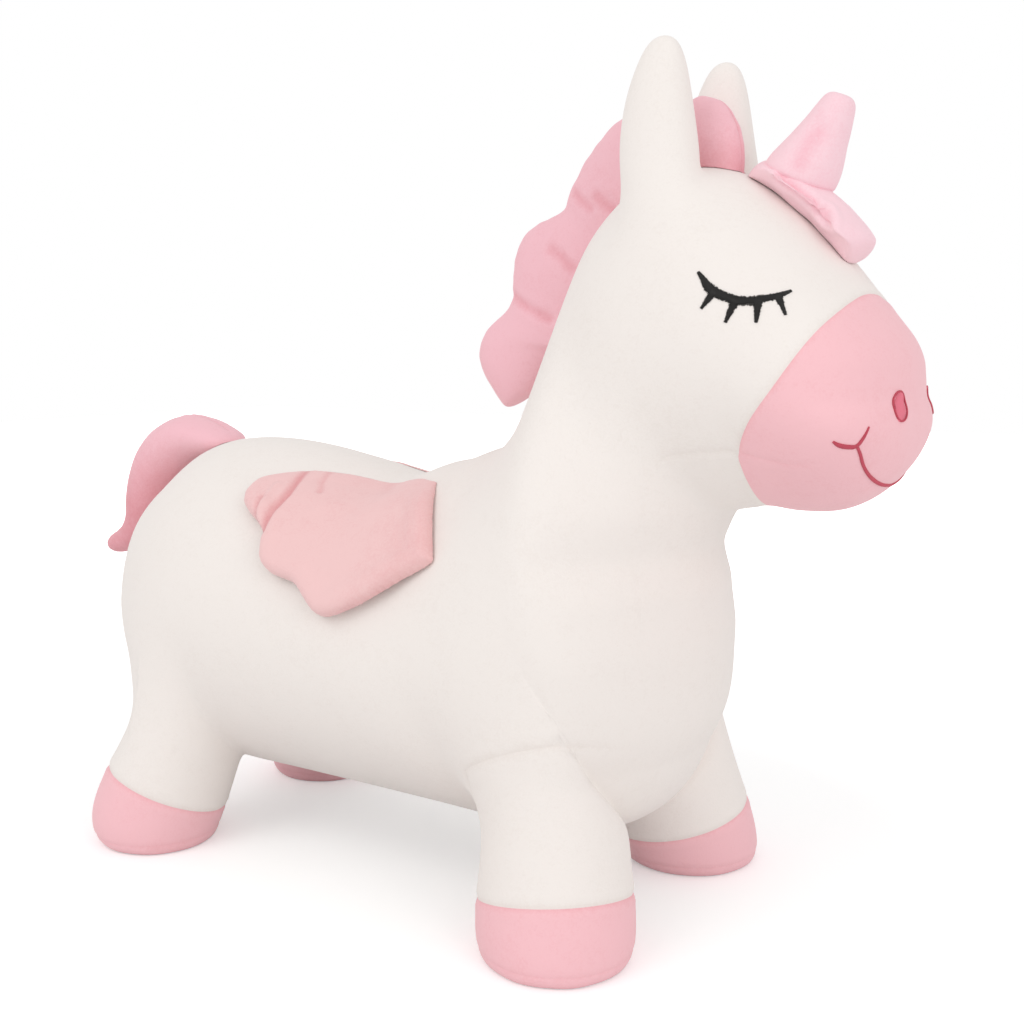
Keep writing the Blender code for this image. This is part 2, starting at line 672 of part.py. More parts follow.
def make_bladder():
    """The air bladder, its valve collar and the plug."""
    form = add("plain_surface", surface.data.copy(), cutters)
    fewer = form.modifiers.new("Fewer", "DECIMATE")
    fewer.decimate_type = "UNSUBDIV"
    fewer.iterations = 2
    settle(form)
    cut(form, block("ear_trim", (-TORSO_LENGTH, -TORSO_WIDTH, EAR_TIP_HEIGHT - BLADDER_EAR_DROP),
                    (TORSO_LENGTH, TORSO_WIDTH, EAR_TIP_HEIGHT + OVERRUN), cutters))
    bladder = walled(form, "air_bladder", parts, PLUSH + BLADDER_SLACK, BLADDER_WALL, vinyl)
    cut(bladder, valve_drill("bladder_hole", VALVE_NECK_DIAMETER + 2 * GAP))
    floor = BELLY_CLEARANCE + PLUSH + VALVE_RECESS
    rim = VALVE_FLANGE_DIAMETER / 2
    neck = VALVE_NECK_DIAMETER / 2
    bore = VALVE_BORE / 2
    low = floor - VALVE_FLANGE_THICKNESS
    top = floor + VALVE_NECK_LENGTH
    turned("valve_collar", ((neck, top), (neck, floor), (rim, floor), (rim, low), (bore, low), (bore, top)),
           (VALVE_X, 0, 0), parts, vinyl)
    cap = PLUG_CAP_DIAMETER / 2
    pin = bore - GAP
    seat = low - GAP
    tip = seat + PLUG_PIN_LENGTH
    under = seat - PLUG_CAP_THICKNESS
    turned("valve_plug", ((0, tip), (PIN_TIP_SHARE * pin, tip), (pin, seat + PIN_TIP_SHARE * PLUG_PIN_LENGTH),
                          (pin, seat), (cap, seat), (cap, seat - CAP_EDGE_SHARES[1] * PLUG_CAP_THICKNESS),
                          (CAP_EDGE_SHARES[0] * cap, under), (0, under)), (VALVE_X, 0, 0), parts, vinyl)


def tucked(item):
    """Cut a piece so that it sits on the cover with a gap."""
    cut(item, seat_surface, "DIFFERENCE", "MANIFOLD")
    return item


def ellipse(centre, along, across, count=LEG_SIDES):
    """The points of an oval control ring."""
    grown_by = ring_growth(count)
    return [centre + grown_by * (along * math.cos(2 * math.pi * (k + 0.5) / count)
                                 + across * math.sin(2 * math.pi * (k + 0.5) / count)) for k in range(count)]


def lobe_ring(foot, outward, height, thickness):
    """An upright ring of a lobed strip, from inside the body out to its edge."""
    inner = foot - outward * MANE_ROOT_SHARE * MANE_HEIGHT
    outer = foot + outward * height
    return ellipse((inner + outer) / 2, (outer - inner) / 2, Vector((0, thickness / 2, 0)))


def make_mane():
    """The mane down the crest of the neck and the forelock between the ears."""
    withers = torso(*TORSO_RING_SHARES[-1][:2])
    poll = head(*HEAD_RING_SHARES[0][:2])
    rings = []
    for t, height, thick in MANE_RING_SHARES:
        foot = bend(withers, CREST_START_SHARES, poll, CREST_END_SHARES, t)
        behind = bend(withers, CREST_START_SHARES, poll, CREST_END_SHARES, t - CREST_STEP_SHARE)
        outward = Vector((behind.z - foot.z, 0, foot.x - behind.x)).normalized()
        rings.append(lobe_ring(foot, outward, height * MANE_HEIGHT, thick * MANE_THICKNESS))
    for u, v, height, thick in MANE_HEAD_SHARES:
        rings.append(lobe_ring(head(u, v), MANE_HEAD_WAY.normalized(), height * MANE_HEIGHT, thick * MANE_THICKNESS))
    tucked(loft("mane", rings, parts, rose_plush))
    rings = []
    for u, v, height, thick in FORELOCK_RING_SHARES:
        rings.append(lobe_ring(head(u, v), FORELOCK_WAY.normalized(), height * FORELOCK_HEIGHT,
                               thick * FORELOCK_THICKNESS))
    tucked(loft("forelock", rings, parts, rose_plush))


def make_tail():
    """The tail, which hangs from the top of the rump and turns out at its end."""
    root = torso(*TAIL_ROOT_SHARES)
    centres = [root + Vector((-u * TAIL_LENGTH, 0, v * TAIL_LENGTH)) for u, v, _, _ in TAIL_RING_SHARES]
    rings = []
    for i, (_, _, thick, width) in enumerate(TAIL_RING_SHARES):
        run = (centres[min(i + 1, len(centres) - 1)] - centres[max(i - 1, 0)]).normalized()
        rings.append(ellipse(centres[i], Vector((-run.z, 0, run.x)) * thick * TAIL_THICKNESS / 2,
                             Vector((0, width * TAIL_WIDTH / 2, 0))))
    hang(tucked(loft("tail", rings, parts, rose_plush)), root)


def flank(x_share, turn_share):
    """The point of the right flank at a turn from the spine, and the way out from it."""
    middle = torso(x_share, 0.5)
    turn = math.pi * turn_share
    out = Vector((0, -math.sin(turn), math.cos(turn)))
    _, place, normal, _ = surface.ray_cast(middle + out * TORSO_DEPTH, -out)
    return place, normal


def make_wings():
    """The wings, each sewn down along its straight front edge."""
    rings = []
    for top_x, top_turn, low_x, low_turn, thick in WING_RING_SHARES:
        ring = []
        for down, lift in WING_SECTION_SHARES:
            place, out = flank(top_x + down * (low_x - top_x), top_turn + down * (low_turn - top_turn))
            ring.append(place + out * (GAP + lift * thick * WING_THICKNESS))
        rings.append(ring)
    for side, label in ((1, "right"), (-1, "left")):
        placed = [[Vector((p.x, side * p.y, p.z)) for p in ring] for ring in rings]
        wing = tucked(loft("wing_" + label, placed, parts, dusty_plush))
        top, bottom = (place + out * WING_HINGE_RISE for place, out in wing_seam())
        middle = (top + bottom) / 2
        hang(wing, Vector((middle.x, side * middle.y, middle.z)))


def wing_seam():
    """The two ends of the right wing's sewn edge, each with the way out from the flank."""
    top_x, top_turn, low_x, low_turn, _ = WING_RING_SHARES[0]
    return flank(top_x, top_turn), flank(low_x, low_turn)


def make_horn():
    """The horn on its lobed pad, which follows the forehead."""
    foot = head(*PAD_FOOT_SHARES)
    span = head(*PAD_TIP_SHARES) - foot
    lift = Vector((-span.z, 0, span.x)).normalized() * PAD_THICKNESS
    rings = []
    for u, wide, up in PAD_RING_SHARES:
        rings.append(ellipse(foot + span * u + lift * up, lift / 2, Vector((0, wide * PAD_WIDTH / 2, 0))))
    pad = tucked(loft("horn_pad", rings, parts, pale_plush))
    foot = foot + span * HORN_FOOT_SHARES[0] + lift * HORN_FOOT_SHARES[1]
    up = HORN_WAY.normalized()
    fore = Vector((up.z, 0, -up.x))
    rings = []
    for u, size in HORN_RING_SHARES:
        centre = foot + up * u * HORN_HEIGHT
        rings.append(ellipse(centre, fore * size * HORN_DIAMETER / 2, Vector((0, size * HORN_DIAMETER / 2, 0))))
    horn = loft("horn", rings, parts, pale_plush)
    cut(horn, grown(pad, "pad_seat", GAP), "DIFFERENCE", "MANIFOLD")


def ribbon(line, width):
    """The outline of a line of stitches."""
    sides = ([], [])
    for i, (u, v) in enumerate(line):
        before = line[max(i - 1, 0)]
        after = line[min(i + 1, len(line) - 1)]
        run = Vector((after[0] - before[0], after[1] - before[1])).normalized() * width / 2
        sides[0].append((u - run.y, v + run.x))
        sides[1].append((u + run.y, v - run.x))
    return sides[0] + sides[1][::-1]


def make_face():
    """Embroidery: a layer of thread over the cover, kept only inside each outline."""
    layer = walled(surface, "thread_layer", cutters, -(GAP + THREAD), THREAD)
    eye = head(*EYE_PLACE_SHARES)
    lashes = [(eye.x + u * EYE_LENGTH, eye.z + v * EYE_HEIGHT) for u, v in EYE_SHARES]
    front = front_view(HEAD_REAR_X + HEAD_LENGTH)
    low = JAW_HEIGHT + SMILE_HEIGHT_SHARE * HEAD_HEIGHT
    shapes = []
    for side, label in ((-1, "right"), (1, "left")):
        shapes.append(flat_solid("eye_lashes_" + label, lashes, HEAD_WIDTH / 2, side_view(side * HEAD_WIDTH / 2),
                                 parts, dark_thread))
        y = side * NOSTRIL_SPREAD / 2
        z = JAW_HEIGHT + NOSTRIL_HEIGHT_SHARE * HEAD_HEIGHT
        radius = NOSTRIL_DIAMETER / 2
        turns = [2 * math.pi * k / NOSTRIL_SIDES for k in range(NOSTRIL_SIDES)]
        disc = [(y + radius * math.cos(a), z + radius * math.sin(a)) for a in turns]
        shapes.append(flat_solid("nostril_" + label, disc, HEAD_LENGTH / 2, front, parts, rose_thread))
        line = [(side * u * SMILE_WIDTH / 2, low + v * SMILE_DEPTH) for u, v in TICK_SHARES]
        tick = ribbon(line, STITCH_WIDTH)
        shapes.append(flat_solid("smile_tick_" + label, tick, HEAD_LENGTH / 2, front, parts, rose_thread))
    half = [(u * SMILE_WIDTH / 2, low + v * SMILE_DEPTH) for u, v in SMILE_SHARES]
    line = ribbon([(-u, v) for u, v in half[:0:-1]] + half, STITCH_WIDTH)
    shapes.append(flat_solid("smile", line, HEAD_LENGTH / 2, front, parts, rose_thread))
    for shape in shapes:
        cut(shape, layer, "INTERSECT", "MANIFOLD")


def make_zip():
    """Tapes, teeth, stops, slider and pull, lying flat in the slot of the belly gusset."""
    middle = BELLY_CLEARANCE + SLIDER_SINK_SHARE * SLIDER_WALL + GAP + ZIP_TEETH_THICKNESS / 2
    low = middle - ZIP_TEETH_THICKNESS / 2
    high = middle + ZIP_TEETH_THICKNESS / 2
    rear = ZIP_FRONT_X - ZIP_LENGTH
    teeth_in = ZIP_CHAIN_GAP / 2
    teeth_out = teeth_in + ZIP_TEETH_WIDTH
    tape_out = teeth_out + GAP + ZIP_TAPE_WIDTH
    stop = STOP_LENGTH_SHARE * ZIP_TEETH_WIDTH
    start = rear + stop + 2 * GAP
    count = int((ZIP_FRONT_X - stop - 2 * GAP - start) / ZIP_TOOTH_PITCH)
    comb = [(start, -teeth_out)]
    for k in range(count):
        for along, across in TOOTH_SHARES:
            comb.append((start + (k + along) * ZIP_TOOTH_PITCH, -(teeth_in + across * ZIP_TEETH_WIDTH)))
    comb.append((comb[-1][0], -teeth_out))
    for side, label in ((-1, "right"), (1, "left")):
        ys = sorted((side * (teeth_out + GAP), side * tape_out))
        block("zip_tape_" + label, (rear, ys[0], middle - ZIP_TAPE_THICKNESS / 2),
              (ZIP_FRONT_X, ys[1], middle + ZIP_TAPE_THICKNESS / 2), parts, grey_tape)
        place = Matrix.Translation((0, 0, middle)) @ Matrix.Diagonal((1, -side, 1, 1))
        flat_solid("zip_teeth_" + label, comb, ZIP_TEETH_THICKNESS, place, parts, grey_nylon)
    for x, label in ((rear, "rear"), (ZIP_FRONT_X - stop, "front")):
        block("zip_stop_" + label, (x, -teeth_out, low), (x + stop, teeth_out, high), parts, steel)
    make_slider(ZIP_FRONT_X - stop - GAP - SLIDER_LENGTH, low - GAP, high + GAP)


def make_slider(back, low, high):
    """The slider, closed up against the front stop, and the pull that swings on its crown."""
    front = back + SLIDER_LENGTH
    half = SLIDER_WIDTH / 2
    slider = block("zip_slider", (back, -half, low - SLIDER_WALL), (front, half, low), parts, steel)
    upper = block("slider_upper", (back, -half, high), (front, half, high + SLIDER_UPPER_SHARE * SLIDER_WALL), cutters)
    thin = SLIDER_NECK_WIDTH_SHARE * ZIP_CHAIN_GAP / 2
    rear_share, front_share = SLIDER_NECK_SHARES
    neck = block("slider_neck", (back + rear_share * SLIDER_LENGTH, -thin, low - SLIDER_WALL / 2),
                 (back + front_share * SLIDER_LENGTH, thin, high + SLIDER_UPPER_SHARE * SLIDER_WALL / 2), cutters)
    crown_x = back + SLIDER_LENGTH / 2
    pivot_z = low - SLIDER_WALL - CROWN_WINDOW / 2
    foot = pivot_z - CROWN_WINDOW / 2
    crown = block("slider_crown", (crown_x - CROWN_LENGTH / 2, -CROWN_WIDTH / 2, foot - SLIDER_WALL),
                  (crown_x + CROWN_LENGTH / 2, CROWN_WIDTH / 2, low - SLIDER_WALL / 2), cutters)
    window = block("crown_window", (crown_x - CROWN_LENGTH / 2 + SLIDER_WALL, -CROWN_WIDTH, foot),
                   (crown_x + CROWN_LENGTH / 2 - SLIDER_WALL, CROWN_WIDTH, foot + CROWN_WINDOW), cutters)
    for piece in (upper, neck, crown):
        cut(slider, piece, "UNION")
    cut(slider, window)
    hang(slider, Vector((crown_x, 0, (low + high) / 2)))
    wide = PULL_WIDTH / 2
    thick = PULL_THICKNESS / 2
    pull = block("zip_pull", (-thick, -wide, -PULL_LENGTH), (thick, wide, thick), parts, steel)
    gap = CROWN_WIDTH / 2 + 2 * GAP
    cut(pull, block("pull_eye", (-OVERRUN, -gap, -PULL_EYE_SHARE * CROWN_WINDOW), (OVERRUN, gap, -thick), cutters))
    pull.location = (crown_x, 0, pivot_z)


def centre_over_origin():
    """Move the whole part so that its box stands centred over the origin."""
    bpy.context.view_layer.update()
    xs = [(item.matrix_world @ Vector(corner)).x for item in parts.objects for corner in item.bound_box]
    shift = Vector((-(min(xs) + max(xs)) / 2, 0, 0))
    for item in parts.objects:
        if item.location.length:
            item.location += shift
        else:
            item.data.transform(Matrix.Translation(shift))


for old in list(bpy.data.objects):
    bpy.data.objects.remove(old)
parts = bpy.data.collections.new("ride_on_unicorn")
cutters = bpy.data.collections.new("cutters")
bpy.context.scene.collection.children.link(parts)
bpy.context.scene.collection.children.link(cutters)
white_plush = finish("white_plush", (0.93, 0.90, 0.88), 0.9)
pink_plush = finish("pink_plush", (0.94, 0.66, 0.70), 0.9)
rose_plush = finish("rose_plush", (0.90, 0.52, 0.60), 0.9)
pale_plush = finish("pale_pink_plush", (0.96, 0.70, 0.78), 0.9)
dusty_plush = finish("dusty_pink_plush", (0.90, 0.60, 0.60), 0.9)
dark_thread = finish("dark_thread", (0.05, 0.04, 0.03), 0.6)
rose_thread = finish("rose_thread", (0.70, 0.20, 0.28), 0.6)
vinyl = finish("soft_vinyl", (0.75, 0.35, 0.45), 0.4)
grey_tape = finish("zip_tape", (0.85, 0.82, 0.80), 0.9)
grey_nylon = finish("zip_nylon", (0.80, 0.77, 0.75), 0.5)
steel = finish("zip_metal", (0.60, 0.60, 0.62), 0.35)
surface = make_surface()
seat_surface = grown(surface, "seat_surface", GAP)
make_bladder()
make_cover()
make_mane()
make_tail()
make_wings()
make_horn()
make_face()
make_zip()
centre_over_origin()
for item in parts.objects:
    item.data.shade_smooth()
    item.data.set_sharp_from_angle(angle=SHARP_ANGLE)
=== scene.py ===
import json
import math

import bmesh
import bpy
import numpy as np
from mathutils import Matrix, Vector, noise
from mathutils.bvhtree import BVHTree
from mathutils.kdtree import KDTree


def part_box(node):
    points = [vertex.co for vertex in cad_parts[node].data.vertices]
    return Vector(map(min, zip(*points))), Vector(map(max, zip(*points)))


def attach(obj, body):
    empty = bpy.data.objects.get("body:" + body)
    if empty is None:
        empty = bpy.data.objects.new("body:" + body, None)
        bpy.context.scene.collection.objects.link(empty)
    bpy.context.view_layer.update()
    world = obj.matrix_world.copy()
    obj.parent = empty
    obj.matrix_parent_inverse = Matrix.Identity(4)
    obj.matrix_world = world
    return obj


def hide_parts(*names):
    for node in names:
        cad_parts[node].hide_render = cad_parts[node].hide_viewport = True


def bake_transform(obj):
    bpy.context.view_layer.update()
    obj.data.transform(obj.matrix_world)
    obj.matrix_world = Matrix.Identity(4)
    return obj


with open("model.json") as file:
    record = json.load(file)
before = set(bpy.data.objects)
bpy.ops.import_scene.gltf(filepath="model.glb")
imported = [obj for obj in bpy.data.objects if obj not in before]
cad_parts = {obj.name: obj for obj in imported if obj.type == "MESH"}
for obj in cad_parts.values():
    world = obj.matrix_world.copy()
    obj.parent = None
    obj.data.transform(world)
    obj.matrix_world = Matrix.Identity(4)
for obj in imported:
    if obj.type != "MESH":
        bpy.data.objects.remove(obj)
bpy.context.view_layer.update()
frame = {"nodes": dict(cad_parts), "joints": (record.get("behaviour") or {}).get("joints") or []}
mm = 0.001
weld = 0.05 * mm

# the inflated animal: the same lengths as the solids, in millimetres, and shares of them
animal = {
    "rumpX": -244, "torsoLength": 440, "bellyClearance": 42, "torsoDepth": 214, "torsoWidth": 208,
    "neckWidth": 140, "headRearX": 120, "headLength": 190, "jawHeight": 234, "headHeight": 176, "headWidth": 154,
    "wheelbase": 306, "track": 166, "hoofDiameter": 83, "legDiameter": 80, "kneeHeight": 84, "legSplay": 20,
    "earTip": 468, "earSpread": 74, "earLong": 43, "earWide": 34, "zipFrontX": 66,
    "gap": 0.3, "soleRound": 2.6,
}
size = {name: value * mm for name, value in animal.items()}
shift = Vector((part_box("zip_stop_front")[1].x - size["zipFrontX"], 0, 0))  # the solids stand centred over the origin
trunk = {
    "angles": (0, 17, 50, 86, 121, 160, 180),  # where a ring has its points, from the spine to the belly line
    "legColumns": (3, 4, 5), "legRings": {True: 6, False: 1}, "legSides": 8, "legFirstCorner": 3,
    "earColumns": (1, 2), "earPlace": 0.33, "fourSided": 0.92,
    "caps": ((0, 1, 5, 6), (1, 2, 4, 5), (2, 3, 4)),
    "torso": (  # top x and z, bottom x and z, width
        (0.03, 0.68, 0.03, 0.30, 0.30), (0.08, 0.85, 0.09, 0.10, 0.62), (0.17, 0.97, 0.215, 0.015, 0.86),
        (0.27, 1.00, 0.345, 0.00, 1.00), (0.40, 0.985, 0.46, 0.00, 1.00), (0.52, 0.93, 0.61, 0.00, 1.00),
        (0.645, 0.895, 0.75, 0.00, 1.02), (0.735, 1.005, 0.855, 0.00, 1.05)),
    "neck": ((0.22, 0.0), (0.42, 0.14), (0.62, 0.58), (0.82, 1.0)),  # way up, width
    "crest": (Vector((0.95, 0, 0.65)), Vector((0.65, 0, 0.75))),
    "throat": (Vector((1.25, 0, 0.1)), Vector((0.2, 0, 1.2))),
    "head": (
        (0.09, 0.84, 0.44, -0.03, 0.94), (0.22, 0.96, 0.49, 0.00, 0.98), (0.45, 1.00, 0.57, 0.00, 1.00),
        (0.64, 0.865, 0.67, -0.01, 0.98), (0.79, 0.70, 0.78, 0.00, 0.94), (0.90, 0.54, 0.88, 0.04, 0.84),
        (0.96, 0.42, 0.95, 0.12, 0.60), (0.985, 0.34, 0.98, 0.20, 0.28)),
    "legs": (  # height, leg and hoof size, slope along and across
        (0.86, 0.90, 0.0, 0.8, 2.6), (0.54, 1.0, 0.0, 1.0, 1.1), (0.13, 0.0, 1.07, 0.35, 0.35),
        (-0.11, 0.0, 0.86, 0.0, 0.0)),
    "legFit": {  # for each ring of a front or rear leg: size, and how far it is set forward and in
        True: ((1.07, 3.3, 5.0), (1.0, 1.5, 2.3), (1.0, 0, 0), (1.0, 0, 0)),
        False: ((0.93, -1.5, -1.0), (0.92, -1.5, -1.0), (0.97, -5.4, -3.6), (0.90, 4.5, 2.7))},
    "ears": (  # way up, size, lean
        (-0.02, 1.0, 0.0), (0.45, 0.84, -0.006), (0.80, 0.60, 0.004), (1.04, 0.28, 0.010)),
    "backLine": (  # x, and how far the back stands higher there
        (-260, 0), (-200, -1), (-180, -3), (-150, -1.5), (-120, -1.5), (-79, -2.6), (-58, -3.2), (-38, -3.2),
        (-19, -3.8), (-2, -4.2), (9, -2), (18, 2), (27, 5.5), (36, 7.3), (48, 6.8), (58, 6.2), (66, 4.5),
        (74, 1.6), (84, 0)),
    "frontLine": (  # height, and how far breast and nose stand further out there
        (95, 0), (108, 3), (122, 4.5), (144, 4.0), (158, 3.9), (168, 2.8), (178, 1.5), (188, 0.5), (198, -2.3),
        (209, -4.8), (220, -2.5), (232, 0), (250, 0), (268, 0), (280, 0), (287, -1), (293, -2.4), (302, -0.5),
        (311, 2.3), (321, 3.2), (332, 1.6), (345, 0)),
    "rearLine": ((52, 0), (66, 2.0), (79, 4.2), (91, 5.0), (104, 4.2), (117, 3.5), (130, 1.3), (145, 0)),
    "chinLine": (  # x, and how far the chin lies higher there
        (200, 0), (212, 0.5), (224, 2.0), (230, 3.6), (238, 4.2), (248, 3.4), (256, 2.9), (265, 2.1), (273, 1.7),
        (280, 1.9), (287, 2.2), (295, 2.2), (301, 1.5), (308, 0)),
    "frontOf": 60, "rearOf": -150, "chinOver": 205, "facing": 1.6,
    "rumpIn": 3.0, "rumpFrom": 0.72, "rumpOver": 0.25, "rumpRear": (-165, 20), "levels": 4,
}


def ringGrowth(sides):  # a control ring is this much larger than the smooth one
    return 6 / (4 + 2 * math.cos(2 * math.pi / sides))


def torso(x, z):
    return shift + Vector((size["rumpX"] + x * size["torsoLength"], 0, size["bellyClearance"] + z * size["torsoDepth"]))


def head(x, z):
    return shift + Vector((size["headRearX"] + x * size["headLength"], 0, size["jawHeight"] + z * size["headHeight"]))


def bend(start, startAim, end, endAim, t):  # a smooth curve between two points with given ways out and in
    a, b = startAim * (end - start).length, endAim * (end - start).length
    return ((2 * t**3 - 3 * t**2 + 1) * start + (t**3 - 2 * t**2 + t) * a
            + (3 * t**2 - 2 * t**3) * end + (t**3 - t**2) * b)


def crest(t):
    return bend(torso(*trunk["torso"][-1][:2]), trunk["crest"][0], head(*trunk["head"][0][:2]), trunk["crest"][1], t)


def halfRing(top, bottom, width):
    grown = ringGrowth(2 * len(trunk["angles"]) - 2)
    middle, upright = (top + bottom) / 2, (top - bottom) / 2
    turns = [math.radians(a) for a in trunk["angles"]]
    return [middle + grown * (upright * math.cos(a) - Vector((0, width / 2, 0)) * math.sin(a)) for a in turns]


def trunkRings():
    rings = [(torso(a, b), torso(c, d), w * size["torsoWidth"]) for a, b, c, d, w in trunk["torso"]]
    heads = [(head(a, b), head(c, d), w * size["headWidth"]) for a, b, c, d, w in trunk["head"]]
    breast, wide = rings[-1][1:]
    for t, w in trunk["neck"]:
        bottom = bend(breast, trunk["throat"][0], heads[0][1], trunk["throat"][1], t)
        rings.append((crest(t), bottom, wide + w * (size["neckWidth"] - wide)))
    return [halfRing(*r) for r in rings + heads]


def legRings(front):
    way = 1 if front else -1
    foot = shift + Vector((way * size["wheelbase"] / 2, -size["track"] / 2, 0))
    lean = Vector((way * size["legSplay"], -size["legSplay"], -size["kneeHeight"]))
    rings = []
    for (up, leg, hoof, slope, tilt), (grow, fore, inward) in zip(trunk["legs"], trunk["legFit"][front]):
        radius = (leg * size["legDiameter"] + hoof * size["hoofDiameter"]) / 2 * ringGrowth(trunk["legSides"]) * grow
        middle = foot - lean * up + Vector((fore, inward, 0)) * mm
        ring = []
        for k in range(trunk["legSides"]):
            turn = 2 * math.pi * (k - trunk["legFirstCorner"]) / trunk["legSides"]
            flat = Vector((math.cos(turn), math.sin(turn), 0)) * radius
            flat.z = (flat.x * slope * lean.x + flat.y * tilt * lean.y) / size["kneeHeight"]
            ring.append(middle + flat)
        rings.append(ring)
    return rings


def earRings():
    root = size["jawHeight"] + size["headHeight"]
    rings = []
    for up, grow, lean in trunk["ears"]:
        place = head(trunk["earPlace"] + lean, 0)
        middle = Vector((place.x, -size["earSpread"] / 2, root + up * (size["earTip"] - root)))
        a = Vector((size["earLong"] / 2, 0, 0)) * grow / trunk["fourSided"]
        b = Vector((0, size["earWide"] / 2, 0)) * grow / trunk["fourSided"]
        rings.append([middle - a + b, middle + a + b, middle + a - b, middle - a - b])
    return rings


def branch(mesh, loop, rings):  # a leg or an ear grows out of a hole in the trunk
    for ring in rings:
        lower = [mesh.verts.new(p) for p in ring]
        for k in range(len(loop)):
            n = (k + 1) % len(loop)
            mesh.faces.new((loop[k], lower[k], lower[n], loop[n]))
        loop = lower
    mesh.faces.new(loop[::-1])


def meshOf(shape, name):
    data = bpy.data.meshes.new(name)
    shape.to_mesh(data)
    shape.free()
    return data


def placed(name, data):
    item = bpy.data.objects.new(name, data)
    bpy.context.scene.collection.objects.link(item)
    return item


def evaluated(name, data, addSteps):  # works modifiers into a mesh
    item = placed(name, data)
    addSteps(item)
    bpy.context.view_layer.update()
    result = bpy.data.meshes.new_from_object(item.evaluated_get(bpy.context.evaluated_depsgraph_get()))
    item.modifiers.clear()
    bpy.data.objects.remove(item)
    return result


def smoothing(item, levels):
    step = item.modifiers.new("Smooth", "SUBSURF")
    step.levels = levels
    step.render_levels = levels


def rounded(points, steps=6):  # a smooth line through points
    points = [Vector(p) for p in points]
    line = []
    for i in range(len(points) - 1):
        a, b, c, d = (points[min(max(i + k, 0), len(points) - 1)] for k in (-1, 0, 1, 2))
        for s in range(steps):
            t = s / steps
            line.append(0.5 * (2 * b + (c - a) * t + (2 * a - 5 * b + 4 * c - d) * t**2
                               + (3 * b - a - 3 * c + d) * t**3))
    return line + [points[-1]]


def smoothStep(value):
    value = np.clip(value, 0, 1)
    return value * value * (3 - 2 * value)


def along(values, table):  # reads a smooth curve through a table
    curve = np.array(rounded(table))
    return np.interp(values, curve[:, 0], curve[:, 1])


def makeSurface(levels):
    cage = bmesh.new()
    rings = [[cage.verts.new(p) for p in ring] for ring in trunkRings()]
    ear = len(trunk["torso"]) + len(trunk["neck"]) + 1
    a, b, c = trunk["legColumns"]
    holes = {(r + i, column) for r in trunk["legRings"].values() for i in (0, 1) for column in (a, b)}
    holes.add((ear, trunk["earColumns"][0]))
    for i in range(len(rings) - 1):
        for j in range(len(trunk["angles"]) - 1):
            if (i, j) not in holes:
                cage.faces.new((rings[i][j], rings[i][j + 1], rings[i + 1][j + 1], rings[i + 1][j]))
    for ring, last in ((rings[0], False), (rings[-1], True)):
        for corners in trunk["caps"]:
            cage.faces.new([ring[k] for k in (corners if last else corners[::-1])])
    for front, r in trunk["legRings"].items():
        low, mid, high = rings[r], rings[r + 1], rings[r + 2]
        branch(cage, [low[a], mid[a], high[a], high[b], high[c], mid[c], low[c], low[b]], legRings(front))
    e, f = trunk["earColumns"]
    branch(cage, [rings[ear][e], rings[ear + 1][e], rings[ear + 1][f], rings[ear][f]], earRings())

    def addSteps(item):
        half = item.modifiers.new("Mirror", "MIRROR")
        half.use_axis = (False, True, False)
        half.use_clip = True
        half.merge_threshold = weld
        smoothing(item, levels)

    data = evaluated("surface", meshOf(cage, "cage"), addSteps)
    points = pointsOf(data)
    soft = size["soleRound"]
    z = points[:, 2]
    pressed = np.where(z < -soft, 0, (z + soft) ** 2 / (4 * soft))  # flat soles with a round rim
    points[:, 2] = np.where(z > soft, z, pressed)
    facing, _, upward = pointsOf(data, "normal").T
    x, y, z = (points - np.array(shift)).T / mm
    turn = np.arctan2(np.abs(y), z - (size["bellyClearance"] + size["torsoDepth"] / 2) / mm)
    front = along(z, trunk["frontLine"]) * smoothStep(facing * trunk["facing"]) * (x > trunk["frontOf"])
    rear = along(z, trunk["rearLine"]) * smoothStep(-facing * trunk["facing"]) * (x < trunk["rearOf"])
    points[:, 2] += along(x, trunk["backLine"]) * np.cos(np.minimum(turn, math.pi / 2)) ** 2 * mm
    chin = along(x, trunk["chinLine"]) * smoothStep(-upward * trunk["facing"]) * (z > trunk["chinOver"])
    points[:, 2] += chin * mm
    corner = smoothStep(((upward - facing) * math.sqrt(0.5) - trunk["rumpFrom"]) / trunk["rumpOver"])
    corner *= trunk["rumpIn"] * smoothStep((trunk["rumpRear"][0] - x) / trunk["rumpRear"][1])
    points[:, 0] += (front + rear + corner) * mm
    points[:, 2] -= corner * mm
    movePoints(data, points)
    return data


def pointsOf(data, what="co"):
    values = np.empty(len(data.vertices) * 3)
    data.vertices.foreach_get(what, values)
    return values.reshape(-1, 3)


def movePoints(data, points):
    data.vertices.foreach_set("co", points.ravel())
    data.update()


def setValues(data, name, values, kind="FLOAT", field="value"):
    data.attributes.new(name, kind, "POINT").data.foreach_set(field, values)


def paintShade(data, marks):  # raises the mark by which the plush turns darker: painted shade in seams, creases, rims and lower parts, and the wing's darker front
    found = data.attributes.get("paintedShade") or data.attributes.new("paintedShade", "FLOAT", "POINT")
    old = np.zeros(len(data.vertices))
    found.data.foreach_get("value", old)
    found.data.foreach_set("value", np.maximum(old, marks))


# materials
def srgb(text):  # a colour as it is read in the photograph, to linear light
    parts = [int(text[i:i + 2], 16) / 255 for i in (0, 2, 4)]
    return tuple(p / 12.92 if p < 0.04045 else ((p + 0.055) / 1.055) ** 2.4 for p in parts) + (1,)


